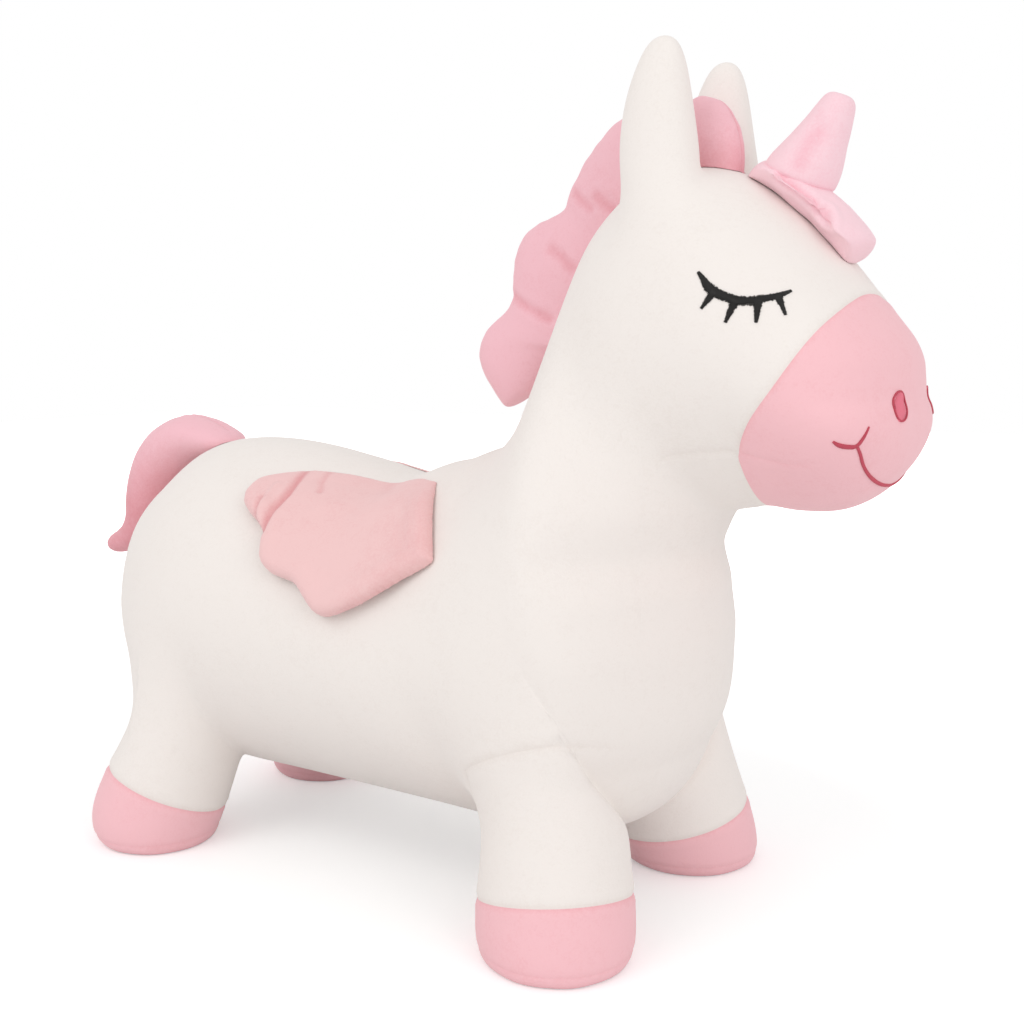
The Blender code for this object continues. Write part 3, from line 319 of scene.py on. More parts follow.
def newGroup(name, inputs, outputs, kind="ShaderNodeTree"):
    tree = bpy.data.node_groups.new(name, kind)
    for label, socket, value in inputs:
        item = tree.interface.new_socket(label, in_out="INPUT", socket_type=socket)
        if value is not None:
            item.default_value = value
    for label, socket in outputs:
        tree.interface.new_socket(label, in_out="OUTPUT", socket_type=socket)
    return tree, tree.nodes.new("NodeGroupInput"), tree.nodes.new("NodeGroupOutput")


def put(tree, kind, links=(), **values):  # a node with its values, and links into its sockets
    node = tree.nodes.new(kind)
    for name, value in values.items():
        setattr(node, name, value)
    for socket, source in links:
        if isinstance(source, bpy.types.NodeSocket):
            tree.links.new(source, node.inputs[socket])
        else:
            node.inputs[socket].default_value = source
    return node


def math2(tree, operation, a, b=0.0, c=0.0):
    return put(tree, "ShaderNodeMath", ((0, a), (1, b), (2, c)), operation=operation).outputs[0]


pile = {  # scales and strengths of the noises in the plush
    "strokeScale": 0.22, "grain": 0.35, "strokes": 0.25, "strokeHeight": 0.7, "roughness": (0.2, 0.75),
    "bump": 0.35, "bumpHeight": 0.25, "sheenRoughness": 0.45, "specular": 0.2,
}
grainy = {"threadShade": -0.5, "ramp": (0.3, 0.65), "roughness": (0.25, 0.12), "bump": 0.4}


def makePileGroup():
    tree, got, out = newGroup("plushPile", (
        ("Pile Scale", "NodeSocketFloat", 900.0), ("Brush Scale", "NodeSocketFloat", 26.0),
        ("Brush Strength", "NodeSocketFloat", 0.5), ("Colour", "NodeSocketColor", (1, 1, 1, 1)),
        ("Shade Colour", "NodeSocketColor", (1, 1, 1, 1)), ("Seam Shade", "NodeSocketFloat", 0.6)),
        (("Colour", "NodeSocketColor"), ("Height", "NodeSocketFloat"), ("Roughness", "NodeSocketFloat")))
    where = put(tree, "ShaderNodeTexCoord").outputs["Object"]

    def noiseOf(scale, **values):
        links = (("Vector", where), ("Scale", scale), *values.items())
        return put(tree, "ShaderNodeTexNoise", links).outputs[0]

    fine = noiseOf(got.outputs["Pile Scale"], Detail=3.0)
    nap = noiseOf(got.outputs["Brush Scale"], Detail=4.0, Roughness=0.62, Distortion=0.8)
    strokeScale = math2(tree, "MULTIPLY", got.outputs["Pile Scale"], pile["strokeScale"])
    strokes = noiseOf(strokeScale, Detail=2.0, Distortion=1.2)
    seam = put(tree, "ShaderNodeAttribute", attribute_name="paintedShade").outputs["Fac"]
    shade = math2(tree, "MULTIPLY", math2(tree, "SUBTRACT", nap, 0.5), got.outputs["Brush Strength"])
    for grain, amount in ((fine, pile["grain"]), (strokes, pile["strokes"])):
        shade = math2(tree, "MULTIPLY_ADD", math2(tree, "SUBTRACT", grain, 0.5), amount, shade)
    # painted shade: the plush turns darker where the mark on the mesh is high
    shade = math2(tree, "MULTIPLY_ADD", seam, got.outputs["Seam Shade"], shade)
    shade = put(tree, "ShaderNodeClamp", (("Value", shade),)).outputs[0]
    mix = put(tree, "ShaderNodeMix", ((0, shade), (6, got.outputs["Colour"]), (7, got.outputs["Shade Colour"])),
              data_type="RGBA")
    tree.links.new(mix.outputs[2], out.inputs["Colour"])
    height = math2(tree, "MULTIPLY_ADD", strokes, pile["strokeHeight"], fine)
    tree.links.new(height, out.inputs["Height"])
    tree.links.new(math2(tree, "MULTIPLY_ADD", fine, *pile["roughness"]), out.inputs["Roughness"])
    return tree


plushes = {  # colour, shaded colour, brush strength, seam shade, sheen
    "white_plush": ("F4EDE8", "DCCFC6", 0.22, 0.25, 0.2),
    "pink_plush": ("F9C5CB", "E58F95", 0.35, 0.25, 0.2),
    "rose_plush": ("F6C2CB", "DC8088", 0.4, 0.4, 0.2),
    "pale_pink_plush": ("FBD6DE", "F19DAE", 0.4, 0.6, 0.2),
    "dusty_pink_plush": ("F3CAC9", "DB8C90", 0.4, 0.6, 0.2),
}
threads = {"dark_thread": ("120D0A", "060403"), "rose_thread": ("E8798C", "C34A5C")}


def newMaterial(name, roughness):
    material = bpy.data.materials.new(name)
    material.use_nodes = True
    shader = material.node_tree.nodes["Principled BSDF"]
    shader.inputs["Roughness"].default_value = roughness
    return material, material.node_tree, shader


def plushMaterial(name, colour, shade, brush, seamShade, sheen):
    material, tree, shader = newMaterial(name, 0.9)
    plush = put(tree, "ShaderNodeGroup", node_tree=pileGroup)
    for socket, value in (("Colour", srgb(colour)), ("Shade Colour", srgb(shade)), ("Brush Strength", brush),
                          ("Seam Shade", seamShade)):
        plush.inputs[socket].default_value = value
    bump = put(tree, "ShaderNodeBump", (("Height", plush.outputs["Height"]), ("Strength", pile["bump"]),
                                        ("Distance", pile["bumpHeight"] * mm)))
    tree.links.new(plush.outputs["Colour"], shader.inputs["Base Color"])
    tree.links.new(plush.outputs["Roughness"], shader.inputs["Roughness"])
    tree.links.new(bump.outputs[0], shader.inputs["Normal"])
    shader.inputs["Sheen Weight"].default_value = sheen
    shader.inputs["Sheen Roughness"].default_value = pile["sheenRoughness"]
    shader.inputs["Specular IOR Level"].default_value = pile["specular"]
    return material


def noisyMaterial(name, colour, shade, roughness, scale, metallic=0.0, stretch=(1, 1, 1), bump=0.1, tone=False):
    material, tree, shader = newMaterial(name, roughness)
    where = put(tree, "ShaderNodeTexCoord").outputs["Object"]
    turned = put(tree, "ShaderNodeMapping", (("Vector", where), ("Scale", stretch))).outputs[0]
    grain = put(tree, "ShaderNodeTexNoise", (("Vector", turned), ("Scale", scale), ("Detail", 4.0))).outputs[0]
    amount = grain
    if tone:  # darker where a thread mesh says so
        darker = put(tree, "ShaderNodeAttribute", attribute_name="tone").outputs["Fac"]
        amount = math2(tree, "MULTIPLY_ADD", darker, grainy["threadShade"], amount)
    ramp = put(tree, "ShaderNodeValToRGB", (("Fac", amount),))
    for end, paint, place in zip(ramp.color_ramp.elements, (shade, colour), grainy["ramp"]):
        end.color = srgb(paint)
        end.position = place
    tree.links.new(ramp.outputs[0], shader.inputs["Base Color"])
    span, less = grainy["roughness"]
    tree.links.new(math2(tree, "MULTIPLY_ADD", grain, span, roughness - less), shader.inputs["Roughness"])
    raised = put(tree, "ShaderNodeBump", (("Height", grain), ("Strength", grainy["bump"]), ("Distance", bump * mm)))
    tree.links.new(raised.outputs[0], shader.inputs["Normal"])
    shader.inputs["Metallic"].default_value = metallic
    return material


pileGroup = makePileGroup()
materials = {slot: plushMaterial(slot, *values) for slot, values in plushes.items()}
for slotName, (colour, shade) in threads.items():
    materials[slotName] = noisyMaterial(slotName, colour, shade, 0.62, 1500.0, tone=True)
materials["soft_vinyl"] = noisyMaterial("soft_vinyl", "D9788E", "C9607A", 0.42, 60.0)
materials["zip_tape"] = noisyMaterial("zip_tape", "ECE6E2", "CFC6C1", 0.9, 900.0, stretch=(1, 3, 1))
materials["zip_nylon"] = noisyMaterial("zip_nylon", "E6E0DC", "D2CBC6", 0.45, 700.0)
materials["zip_metal"] = noisyMaterial("zip_metal", "B9B9BD", "8E8E94", 0.32, 400.0, metallic=1.0, bump=0.03)
print("materials made")


def wear(data, slotName):
    data.materials.clear()
    data.materials.append(materials[slotName])


def piece(node, data, slotName, body="body", smooth=True):  # stands in for one of the solids
    first, *rest = node.split("_")
    item = placed(first + "".join(word.capitalize() for word in rest), data)
    wear(data, slotName)
    if smooth:
        data.polygons.foreach_set("use_smooth", [True] * len(data.polygons))
    if body:
        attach(item, body)
    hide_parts(node)
    return item


surface = makeSurface(trunk["levels"])
bodyTree = BVHTree.FromPolygons([v.co for v in surface.vertices], [p.vertices for p in surface.polygons])


def onSkin(point):  # the nearest place on the skin, and the way out of it
    place, normal, _, _ = bodyTree.find_nearest(Vector(point))
    return place, normal


# the sewn cover: panels and their seams
seams = {  # depth of each kind of seam, and how wide it sinks, in millimetres
    "hoof": (0.75, 1.6), "sole": (0.3, 1.3), "sleeve": (0.6, 1.9), "muzzle": (0.65, 1.4), "chin": (0.45, 1.4),
    "gusset": (0.5, 1.8), "side": (0.15, 1.8), "opening": (0.3, 1.0),
    "reach": 9.0, "swell": 0.3, "swellAt": 2.4, "swellWidth": 1.3, "gather": 0.35, "gatherScale": 110.0,
    "sheet": 2.6, "jaw": (239, -57, 264), "jawFade": 75.0, "chinFade": 45.0, "sleeveFade": (50.0, 95.0),
    "faintest": 0.12, "edgeAngle": 55, "near": 0.14,
}
panelShape = {
    "hoofHeight": {True: 29.8, False: 33.2}, "hoofLean": {True: (0.71, 0.79), False: (1.34, 1.19)},
    "soleHeight": 7, "sleeveHeight": 91, "sleeveInnerY": 34, "gussetWidth": 112, "overrun": 60,
    "hoofReach": 0.85, "hoofInner": 0.765, "sleeveRear": 0.6, "sleeveLean": (1.7, 1.9),
    "muzzle": ((0.88, 0.80), (0.858, 0.67), (0.835, 0.555), (0.745, 0.385), (0.656, 0.26), (0.616, 0.185),
               (0.606, 0.112), (0.60, -0.30)),
    "muzzleFront": ((1.30, -0.30), (1.30, 0.80)),
    "gussetRear": ((0.12, -0.40), (0.12, 0.50), (0.82, 0.50)),
    "gussetFront": ((0.24, 0.20), (0.40, 0.36), (1.30, 0.36), (1.30, -1.60)),
    "zipEnds": (-76.6, 66.6), "zipHalf": 13.25, "valveX": -104, "valveHole": 27,
}


def pathDistance(points, path):  # how far each point is from a line through the path's points
    nearest = np.full(len(points), np.inf)
    for a, b in zip(path, path[1:]):
        run = b - a
        t = np.clip(((points - a) @ run) / (run @ run), 0, 1)
        nearest = np.minimum(nearest, np.linalg.norm(points - a - t[:, None] * run, axis=1))
    return nearest


def polygonField(points, outline):  # how far outside an outline in the side view each point is
    flat = points[:, [0, 2]]
    path = np.array([outline[-1], *outline])
    nearest = pathDistance(flat, path)
    inside = np.zeros(len(flat), bool)
    for a, b in zip(path, path[1:]):
        if a[1] != b[1]:
            crosses = (a[1] > flat[:, 1]) != (b[1] > flat[:, 1])
            border = a[0] + (b[0] - a[0]) * (flat[:, 1] - a[1]) / (b[1] - a[1])
            inside ^= crosses & (flat[:, 0] < border)
    return np.where(inside, -nearest, nearest)


def boxField(points, low, high):
    x, y = points[:, 0], points[:, 1]
    return np.max([low[0] - x, x - high[0], low[1] - y, y - high[1]], axis=0)


def slantField(points, centre, normal):
    return (points - np.array(centre)) @ np.array(normal.normalized())


def legField(foot, axis, height, lean, low, high):  # below a slanted cut through a leg, within a box around it
    centre = foot + axis * height * mm / axis.z
    steep = Vector((lean[0] * axis.x, lean[1] * axis.y, axis.z))
    return lambda p: np.maximum(slantField(p, centre, steep), boxField(p, low, high))


def cutAlong(mesh, layer, source, field, others):  # an edge along a field's border through the faces of one panel
    verts = list(mesh.verts)
    mesh.verts.index_update()
    places = np.array([v.co for v in verts])
    values = field(places)
    away = np.max([other(places) for other in others], axis=0) if others else np.full(len(verts), -1.0)
    value = dict(zip(verts, values.tolist()))
    inside = (values < 0).tolist()
    near = seams["near"]
    crossed, fresh = [], []
    for line in list(mesh.edges):
        a, b = line.verts
        if inside[a.index] == inside[b.index] or source not in [f[layer] for f in line.link_faces]:
            continue
        if min(away[a.index], away[b.index]) > seams["reach"] * mm:
            continue
        va, vb = value[a], value[b]
        if va * vb >= 0:
            continue
        t = va / (va - vb)
        if near <= t <= 1 - near:
            crossed.append(line)
            continue
        v = a if t < near else b
        v.co = a.co.lerp(b.co, t)
        value[v] = 0.0
        fresh.append(v)
    for line in crossed:
        a, b = line.verts
        va, vb = value[a], value[b]
        if va * vb < 0:
            _, v = bmesh.utils.edge_split(line, a, va / (va - vb))
            value[v] = 0.0
            fresh.append(v)
    fresh.sort(key=lambda v: tuple(v.co))
    bmesh.ops.connect_verts(mesh, verts=fresh)
    return fresh


def sew(mesh, layer, source, number, *fields):  # gives a region of one panel its own number, with clean edges
    onEdge = [cutAlong(mesh, layer, source, field, [f for f in fields if f is not field]) for field in fields]
    mesh.verts.index_update()
    places = np.array([v.co for v in mesh.verts])
    values = []
    for field, fresh in zip(fields, onEdge):
        found = field(places)
        found[np.array([v.index for v in fresh], int)] = 0
        values.append(found)
    value = np.max(values, axis=0)
    for face in mesh.faces:
        if face[layer] == source and sum(value[v.index] for v in face.verts) < 0:
            face[layer] = number


def panelRegions():  # each panel, what it is cut from, and the fields of its region
    reach = panelShape["hoofReach"] * size["hoofDiameter"]
    inner = panelShape["hoofInner"] * size["hoofDiameter"]
    found, sleeves = [], []
    for front, word, way in ((True, "front_", 1), (False, "rear_", -1)):
        for side, label in ((-1, "right"), (1, "left")):
            foot = shift + Vector((way * size["wheelbase"] / 2, side * size["track"] / 2, 0))
            axis = Vector((-way * size["legSplay"], -side * size["legSplay"], size["kneeHeight"])).normalized()
            ys = sorted((foot.y + side * reach, foot.y - side * inner))
            hoof = legField(foot, axis, panelShape["hoofHeight"][front], panelShape["hoofLean"][front],
                            (foot.x - reach, ys[0]), (foot.x + reach, ys[1]))
            found.append(("hoof_band_" + word + label, "rest", hoof))
            found.append(("sole_" + word + label, "hoof_band_" + word + label,
                          lambda p: p[:, 2] - panelShape["soleHeight"] * mm))
            if front:
                over = panelShape["overrun"] * mm
                ys = sorted((side * panelShape["sleeveInnerY"] * mm, side * (size["track"] / 2 + over)))
                rear = foot.x - panelShape["sleeveRear"] * size["hoofDiameter"]
                sleeve = legField(foot, axis, panelShape["sleeveHeight"], panelShape["sleeveLean"],
                                  (rear, ys[0]), (foot.x + over, ys[1]))
                sleeves.append(("leg_sleeve_" + label, "rest", sleeve))
    found += sleeves
    outline = [tuple(q) for q in rounded([head(*s).xz for s in panelShape["muzzle"]])]
    outline += [tuple(head(*s).xz) for s in panelShape["muzzleFront"]]
    found.append(("muzzle_panel", "rest", lambda p: polygonField(p, outline)))
    belly = [tuple(torso(*s).xz) for s in panelShape["gussetRear"]]
    belly += [tuple(head(*s).xz) for s in panelShape["gussetFront"]]
    half = panelShape["gussetWidth"] * mm / 2

    def bellyField(p):
        return np.maximum(polygonField(p, belly), np.abs(p[:, 1]) - half)

    found.append(("chin_panel", "muzzle_panel", bellyField))
    found.append(("belly_gusset", "rest", bellyField))
    room = panelShape["zipHalf"] * mm
    rear, fore = (value * mm + shift.x for value in panelShape["zipEnds"])
    found.append(("opening_zip", "belly_gusset", lambda p: np.maximum(rear - p[:, 0], p[:, 0] - fore),
                  lambda p: np.abs(p[:, 1]) - room))
    valve, hole = panelShape["valveX"] * mm + shift.x, panelShape["valveHole"] * mm / 2
    found.append(("opening_valve", "belly_gusset", lambda p: np.hypot(p[:, 0] - valve, p[:, 1]) - hole))
    found.append(("side_panel_right", "rest", lambda p: p[:, 1]))
    return found


def kindOf(a, b):
    for word in ("opening", "sole", "hoof", "sleeve", "chin", "muzzle", "gusset", "side"):
        if word in a or word in b:
            return word
    return "side"


def seamStrength(kind, place):  # seams that the photograph doesn't show are drawn tight and stay faint
    if kind in ("gusset", "chin"):
        jaw = Vector(seams["jaw"]) * mm + shift
        away = (Vector((place.x, -abs(place.y), place.z)) - jaw).length
        return max(seams["faintest"], 1 - away / (seams["jawFade" if kind == "gusset" else "chinFade"] * mm))
    if kind == "sleeve":
        low, high = (value * mm for value in seams["sleeveFade"])
        return min(max((abs(place.y) - low) / (high - low), seams["faintest"]), 1)
    return 1


def makeCover():
    mesh = bmesh.new()
    mesh.from_mesh(surface)
    layer = mesh.faces.layers.int.new("panel")
    names = ["rest"]
    for name, source, *fields in panelRegions():
        names.append(name)
        sew(mesh, layer, names.index(source), len(names) - 1, *fields)
    names[0] = "side_panel_left"
    mesh.normal_update()
    seamVerts = []
    for v in mesh.verts:
        around = {f[layer] for f in v.link_faces}
        if len(around) > 1:
            kind = kindOf(*(names[number] for number in sorted(around)[:2]))
            depth, width = seams[kind]
            seamVerts.append((v.co.copy(), (depth * seamStrength(kind, v.co), width)))
    near = KDTree(len(seamVerts))
    for i, (co, _) in enumerate(seamVerts):
        near.insert(co, i)
    near.balance()
    pulls = []
    for v in mesh.verts:
        _, i, distance = near.find(v.co)
        pull, mark = 0.0, 0.0
        if distance < seams["reach"] * mm:
            depth, width = seamVerts[i][1]
            gather = noise.noise(v.co * seams["gatherScale"])
            sunk = math.exp(-(distance / (width * mm)) ** 2)
            beside = distance - seams["swellAt"] * width * mm
            swollen = math.exp(-(beside / (seams["swellWidth"] * width * mm)) ** 2)
            gathered = seams["gather"] * gather
            pull = depth * mm * (-sunk * (1 + gathered) + swollen * (seams["swell"] + gathered))
            # painted shade in the sunk seam, fuller for deeper seams
            mark = sunk * min(depth / seams["hoof"][0], 1)
        pulls.append((pull, mark))
    for v, (pull, _) in zip(mesh.verts, pulls):
        v.co += v.normal * pull
        v.co.z = max(v.co.z, 0)
    marks = [mark for _, mark in pulls]
    mesh.verts.index_update()
    for number, name in enumerate(names):
        if "opening" in name:
            continue
        faces = [f for f in mesh.faces if f[layer] == number]
        used = sorted({v.index for f in faces for v in f.verts})
        place = {old: new for new, old in enumerate(used)}
        mesh.verts.ensure_lookup_table()
        data = bpy.data.meshes.new(name)
        corners = [[place[v.index] for v in f.verts] for f in faces]
        data.from_pydata([mesh.verts[i].co for i in used], [], corners)
        paintShade(data, [marks[i] for i in used])

        def addSteps(item):
            sheet = item.modifiers.new("Sheet", "SOLIDIFY")
            sheet.thickness = seams["sheet"] * mm
            sheet.offset = -1

        done = evaluated(name, data, addSteps)
        done.set_sharp_from_angle(angle=math.radians(seams["edgeAngle"]))
        slotName = "pink_plush" if any(w in name for w in ("hoof", "sole", "muzzle", "chin")) else "white_plush"
        piece(name, done, slotName)
        print(" ", name, len(done.polygons), "faces")
    mesh.free()


makeCover()
print("cover sewn")


# padded pieces
padSides = 8
crease = {"swell": 0.35, "swellAt": 2, "shade": 0.8}
ridge = {"gather": 0.4, "gatherScale": 160, "puff": 0.25, "puffGather": 0.7, "puffAt": 2.6, "puffWidth": 2.2,
         "shade": 0.8}


def bell(distance, width):
    return np.exp(-(distance / width) ** 2)


def loft(rings, levels):  # a smooth closed form through rings, with nothing of it inside the skin
    shape = bmesh.new()
    loops = [[shape.verts.new(p) for p in ring] for ring in rings]
    for low, high in zip(loops, loops[1:]):
        for k in range(len(low)):
            n = (k + 1) % len(low)
            shape.faces.new((low[k], low[n], high[n], high[k]))
    shape.faces.new(loops[0])
    shape.faces.new(loops[-1])
    bmesh.ops.recalc_face_normals(shape, faces=shape.faces)
    data = evaluated("loft", meshOf(shape, "loft"), lambda item: smoothing(item, levels))
    for v in data.vertices:
        place, normal = onSkin(v.co)
        if (v.co - place).dot(normal) < size["gap"]:
            v.co = place + normal * animal["gap"] * mm
    data.update()
    return data


def ellipse(centre, fore, aside):
    grown = ringGrowth(padSides)
    turns = [2 * math.pi * (k + 0.5) / padSides for k in range(padSides)]
    return [centre + grown * (fore * math.cos(a) + aside * math.sin(a)) for a in turns]


def press(data, creases):  # sinks creases on both sides and paints shade into them: a line in millimetres, depth, width
    points, normals = pointsOf(data), pointsOf(data, "normal")
    move, mark = np.zeros(len(points)), np.zeros(len(points))
    for line, depth, width in creases:
        for side in (1, -1):
            away = pathDistance(points, [np.array((x, side * y, z)) * mm + np.array(shift) for x, y, z in line])
            sunk = bell(away, width * mm)
            swollen = bell(away - crease["swellAt"] * width * mm, width * mm)
            move += depth * mm * (-sunk + crease["swell"] * swollen)
            mark = np.maximum(mark, sunk * min(depth / seams["hoof"][0], 1) * crease["shade"])
    movePoints(data, points + normals * move[:, None])
    paintShade(data, mark)


def tint(data, values):  # painted shade: darker towards the lower part of a piece
    low, high = values["paintedShadeLow"] * mm, values["paintedShadeHigh"] * mm
    paintShade(data, values["tint"] * smoothStep((high - pointsOf(data)[:, 2]) / (high - low)))


def ripple(data, amount, scale):  # soft unevenness of the filling
    points, normals = pointsOf(data), pointsOf(data, "normal")
    for i, p in enumerate(points):
        points[i] += normals[i] * amount * mm * noise.fractal(Vector(p) * scale, 1.0, 2.0, 2)
    movePoints(data, points)


def ridgeSeam(data, values):  # the sewn edge where the two sides of a padded strip meet, with painted shade in its sunk line
    points, normals = pointsOf(data), pointsOf(data, "normal")
    depth, width = values["seamDepth"], values["seamWidth"] * mm
    fore, up, grow = values["outside"]
    facing = np.clip((normals[:, 0] * fore + normals[:, 2] * up) * grow, 0, 1)
    sunk = bell(points[:, 1], width) * facing
    gather = np.array([noise.noise(Vector((x, 0, z)) * ridge["gatherScale"]) for x, _, z in points])
    puff = bell(np.abs(points[:, 1]) - ridge["puffAt"] * values["seamWidth"] * mm,
                ridge["puffWidth"] * values["seamWidth"] * mm) * facing
    puffed = puff * (ridge["puff"] + ridge["puffGather"] * gather) * depth
    move = -depth * sunk * (1 + ridge["gather"] * gather) + puffed
    movePoints(data, points + normals * (mm * move)[:, None])
    paintShade(data, sunk * ridge["shade"])


mane = {
    "height": 60, "thickness": 27, "root": 0.25, "levels": 4, "seamDepth": 0.7, "seamWidth": 1.6,
    "outside": (-0.75, 0.66, 1.6), "ripple": (0.5, 34), "behind": 0.02,
    "footRings": (  # inner and outer x and z, thickness
        (86, 291, 68, 279.5, 12), (89, 294, 64.5, 284.5, 20), (93, 299, 57, 293.5, 25), (96, 305, 50.5, 303.5, 27),
        (101, 311, 48.5, 313.5, 27), (105, 316, 51, 321.5, 26)),
    "rings": (  # way up the crest, height, thickness
        (0.49, 0.97, 1.0), (0.60, 0.70, 0.8), (0.69, 0.83, 1.0), (0.80, 0.85, 1.0), (0.88, 0.72, 0.95),
        (0.94, 0.46, 0.8), (1.00, 0.60, 0.9)),
    "headRings": ((0.15, 0.90, 0.74, 1.0), (0.20, 0.93, 0.74, 0.95), (0.27, 0.97, 0.66, 0.7)),
    "headWay": Vector((-0.35, 0, 1)),
    "creases": (
        (((117, -9, 400), (123, -12, 395), (129, -13, 391)), 1.1, 2.6),
        (((133, -13, 397), (139, -12, 392), (146, -10, 387)), 1.2, 2.8),
        (((105, -13, 370), (111, -13, 366), (118, -13, 359)), 0.9, 3.2),
        (((76, -5, 345), (89, -12, 338), (103, -12, 332)), 1.2, 2.8),
    ),
}
forelock = {
    "height": 38, "thickness": 26, "levels": 4, "headWay": Vector((0.12, 0, 1)),
    # its last three values: painted shade towards the bottom, its strength, the height where it is full and the height
    # where it ends
    "seamDepth": 0.8, "seamWidth": 1.4, "outside": (1, 1.6, 1), "tint": 0.9, "paintedShadeLow": 404, "paintedShadeHigh": 432,
    "headRings": ((0.26, 0.97, 0.80, 0.6), (0.30, 0.98, 1.03, 1.0), (0.36, 0.99, 1.00, 1.0), (0.425, 0.99, 0.84, 1.0),
                  (0.482, 0.975, 0.33, 0.55)),
}


def midRing(inner, outer, thickness):
    return ellipse((inner + outer) / 2, (outer - inner) / 2, Vector((0, thickness / 2, 0)))


def lobeRing(foot, outward, values, height, thick):
    inner = foot - outward * mane["root"] * mane["height"] * mm
    return midRing(inner, foot + outward * (height * values["height"] * mm), thick * values["thickness"] * mm)


def headLobes(values):
    way = values["headWay"].normalized()
    return [lobeRing(head(u, v), way, values, height, thick) for u, v, height, thick in values["headRings"]]


def makeMane():
    rings = [midRing(Vector((a, 0, b)) * mm + shift, Vector((c, 0, d)) * mm + shift, thick * mm)
             for a, b, c, d, thick in mane["footRings"]]
    for t, height, thick in mane["rings"]:
        foot, behind = crest(t), crest(t - mane["behind"])
        outward = Vector((behind.z - foot.z, 0, foot.x - behind.x)).normalized()
        rings.append(lobeRing(foot, outward, mane, height, thick))
    data = loft(rings + headLobes(mane), mane["levels"])
    ridgeSeam(data, mane)
    press(data, mane["creases"])
    ripple(data, *mane["ripple"])
    piece("mane", data, "rose_plush")
    data = loft(headLobes(forelock), forelock["levels"])
    ridgeSeam(data, forelock)
    tint(data, forelock)
    piece("forelock", data, "rose_plush")


tail = {
    "length": 136, "thickness": 37, "width": 46, "levels": 4, "root": (0.205, 0.985),
    "seamDepth": 1.0, "seamWidth": 1.5, "outside": (-1, 1, 1), "ripple": (0.8, 30),
    # painted shade towards the bottom: strength, the height where it is full and the height where it ends
    "tint": 1.3, "paintedShadeLow": 195, "paintedShadeHigh": 262,
    "rings": ((0.0, -0.01, 0.24, 0.6), (0.13, 0.003, 0.58, 0.84), (0.31, 0.028, 0.86, 0.96), (0.485, -0.06, 1.0, 1.0),
              (0.595, -0.21, 1.0, 0.96), (0.655, -0.37, 0.90, 0.80), (0.71, -0.49, 0.72, 0.62),
              (0.83, -0.575, 0.50, 0.48), (0.985, -0.615, 0.34, 0.34)),
    "creases": ((((-216, -14, 205), (-211, -13, 210), (-205, -11, 217)), 2.2, 3.2),),
}


def makeTail():
    root = torso(*tail["root"])
    centres = [root + Vector((-u, 0, v)) * tail["length"] * mm for u, v, _, _ in tail["rings"]]
    rings = []
    for i, (_, _, thick, width) in enumerate(tail["rings"]):
        run = (centres[min(i + 1, len(centres) - 1)] - centres[max(i - 1, 0)]).normalized()
        rings.append(ellipse(centres[i], Vector((-run.z, 0, run.x)) * thick * tail["thickness"] * mm / 2,
                             Vector((0, width * tail["width"] * mm / 2, 0))))
    data = loft(rings, tail["levels"])
    ridgeSeam(data, tail)
    press(data, tail["creases"])
    ripple(data, *tail["ripple"])
    tint(data, tail)
    piece("tail", data, "rose_plush", body="tail")


wing = {  # sheet lengths in millimetres; outline and folds as torso x and turn from the spine
    "thickness": 7.5, "cell": 1.15, "radius": 104, "rim": 6.0, "hollow": 1.5, "hollowFrom": 8.0, "hollowOver": 9.0,
    "standOff": 4.6, "standFrom": 0.13, "standTo": 0.36, "frontX": 0.75, "frontOver": 0.09, "thinnest": 0.3,
    "topShare": 0.12, "topFrom": 0.10, "topTo": 0.24, "foldFrom": -1.0, "foldOver": 14.0, "base": 0.13,
    "frontTint": 0.3, "tintFrom": 0.60, "tintTo": 0.72, "rimShade": 0.55, "rimFrom": 0.26, "rimTo": 0.42,
    "frontShadeFrom": 0.55, "frontShadeTo": 0.66, "creaseEdge": 0.35, "darkestDepth": 3, "ripple": (0.35, 60),
    "outline": (
        (0.384, 0.249), (0.379, 0.197), (0.385, 0.178), (0.403, 0.154), (0.431, 0.126), (0.464, 0.111), (0.502, 0.097),
        (0.563, 0.090), (0.603, 0.102), (0.650, 0.130), (0.659, 0.135), (0.661, 0.142), (0.708, 0.249), (0.734, 0.318),
        (0.736, 0.326), (0.728, 0.335), (0.700, 0.360), (0.673, 0.387), (0.637, 0.417), (0.600, 0.440), (0.585, 0.442),
        (0.571, 0.436), (0.550, 0.413), (0.530, 0.393), (0.506, 0.387), (0.481, 0.379), (0.464, 0.363), (0.456, 0.337),
        (0.449, 0.310), (0.430, 0.288), (0.409, 0.274)),
    "folds": (  # line, depth, width
        (((0.453, 0.310), (0.450, 0.263), (0.451, 0.224), (0.445, 0.191), (0.431, 0.126)), 3.4, 2.6),
        (((0.437, 0.300), (0.431, 0.255), (0.424, 0.205)), -1.6, 2.4),
        (((0.430, 0.300), (0.426, 0.270), (0.421, 0.245)), 1.6, 1.9),
        (((0.462, 0.112), (0.476, 0.165), (0.492, 0.200)), 1.5, 2.0),
        (((0.560, 0.100), (0.590, 0.170)), 0.6, 5.0)),
}


def skinNormal(place, index):  # the skin's direction between the corners of one of its faces
    total = Vector()
    for k in surface.polygons[index].vertices:
        corner = surface.vertices[k]
        total += corner.normal / ((corner.co - place).length_squared + weld**2)
    return total.normalized()


def flank(x, turn):
    middle = torso(x, 0.5)
    out = Vector((0, -math.sin(math.pi * turn), math.cos(math.pi * turn)))
    place, _, index, _ = bodyTree.ray_cast(middle + out * size["torsoDepth"], -out)
    return place, skinNormal(place, index)


def cornersCut(points):  # a closed outline with its corners eased
    after = np.roll(points, -1, axis=0)
    return np.stack((0.75 * points + 0.25 * after, 0.25 * points + 0.75 * after), 1).reshape(-1, 2)


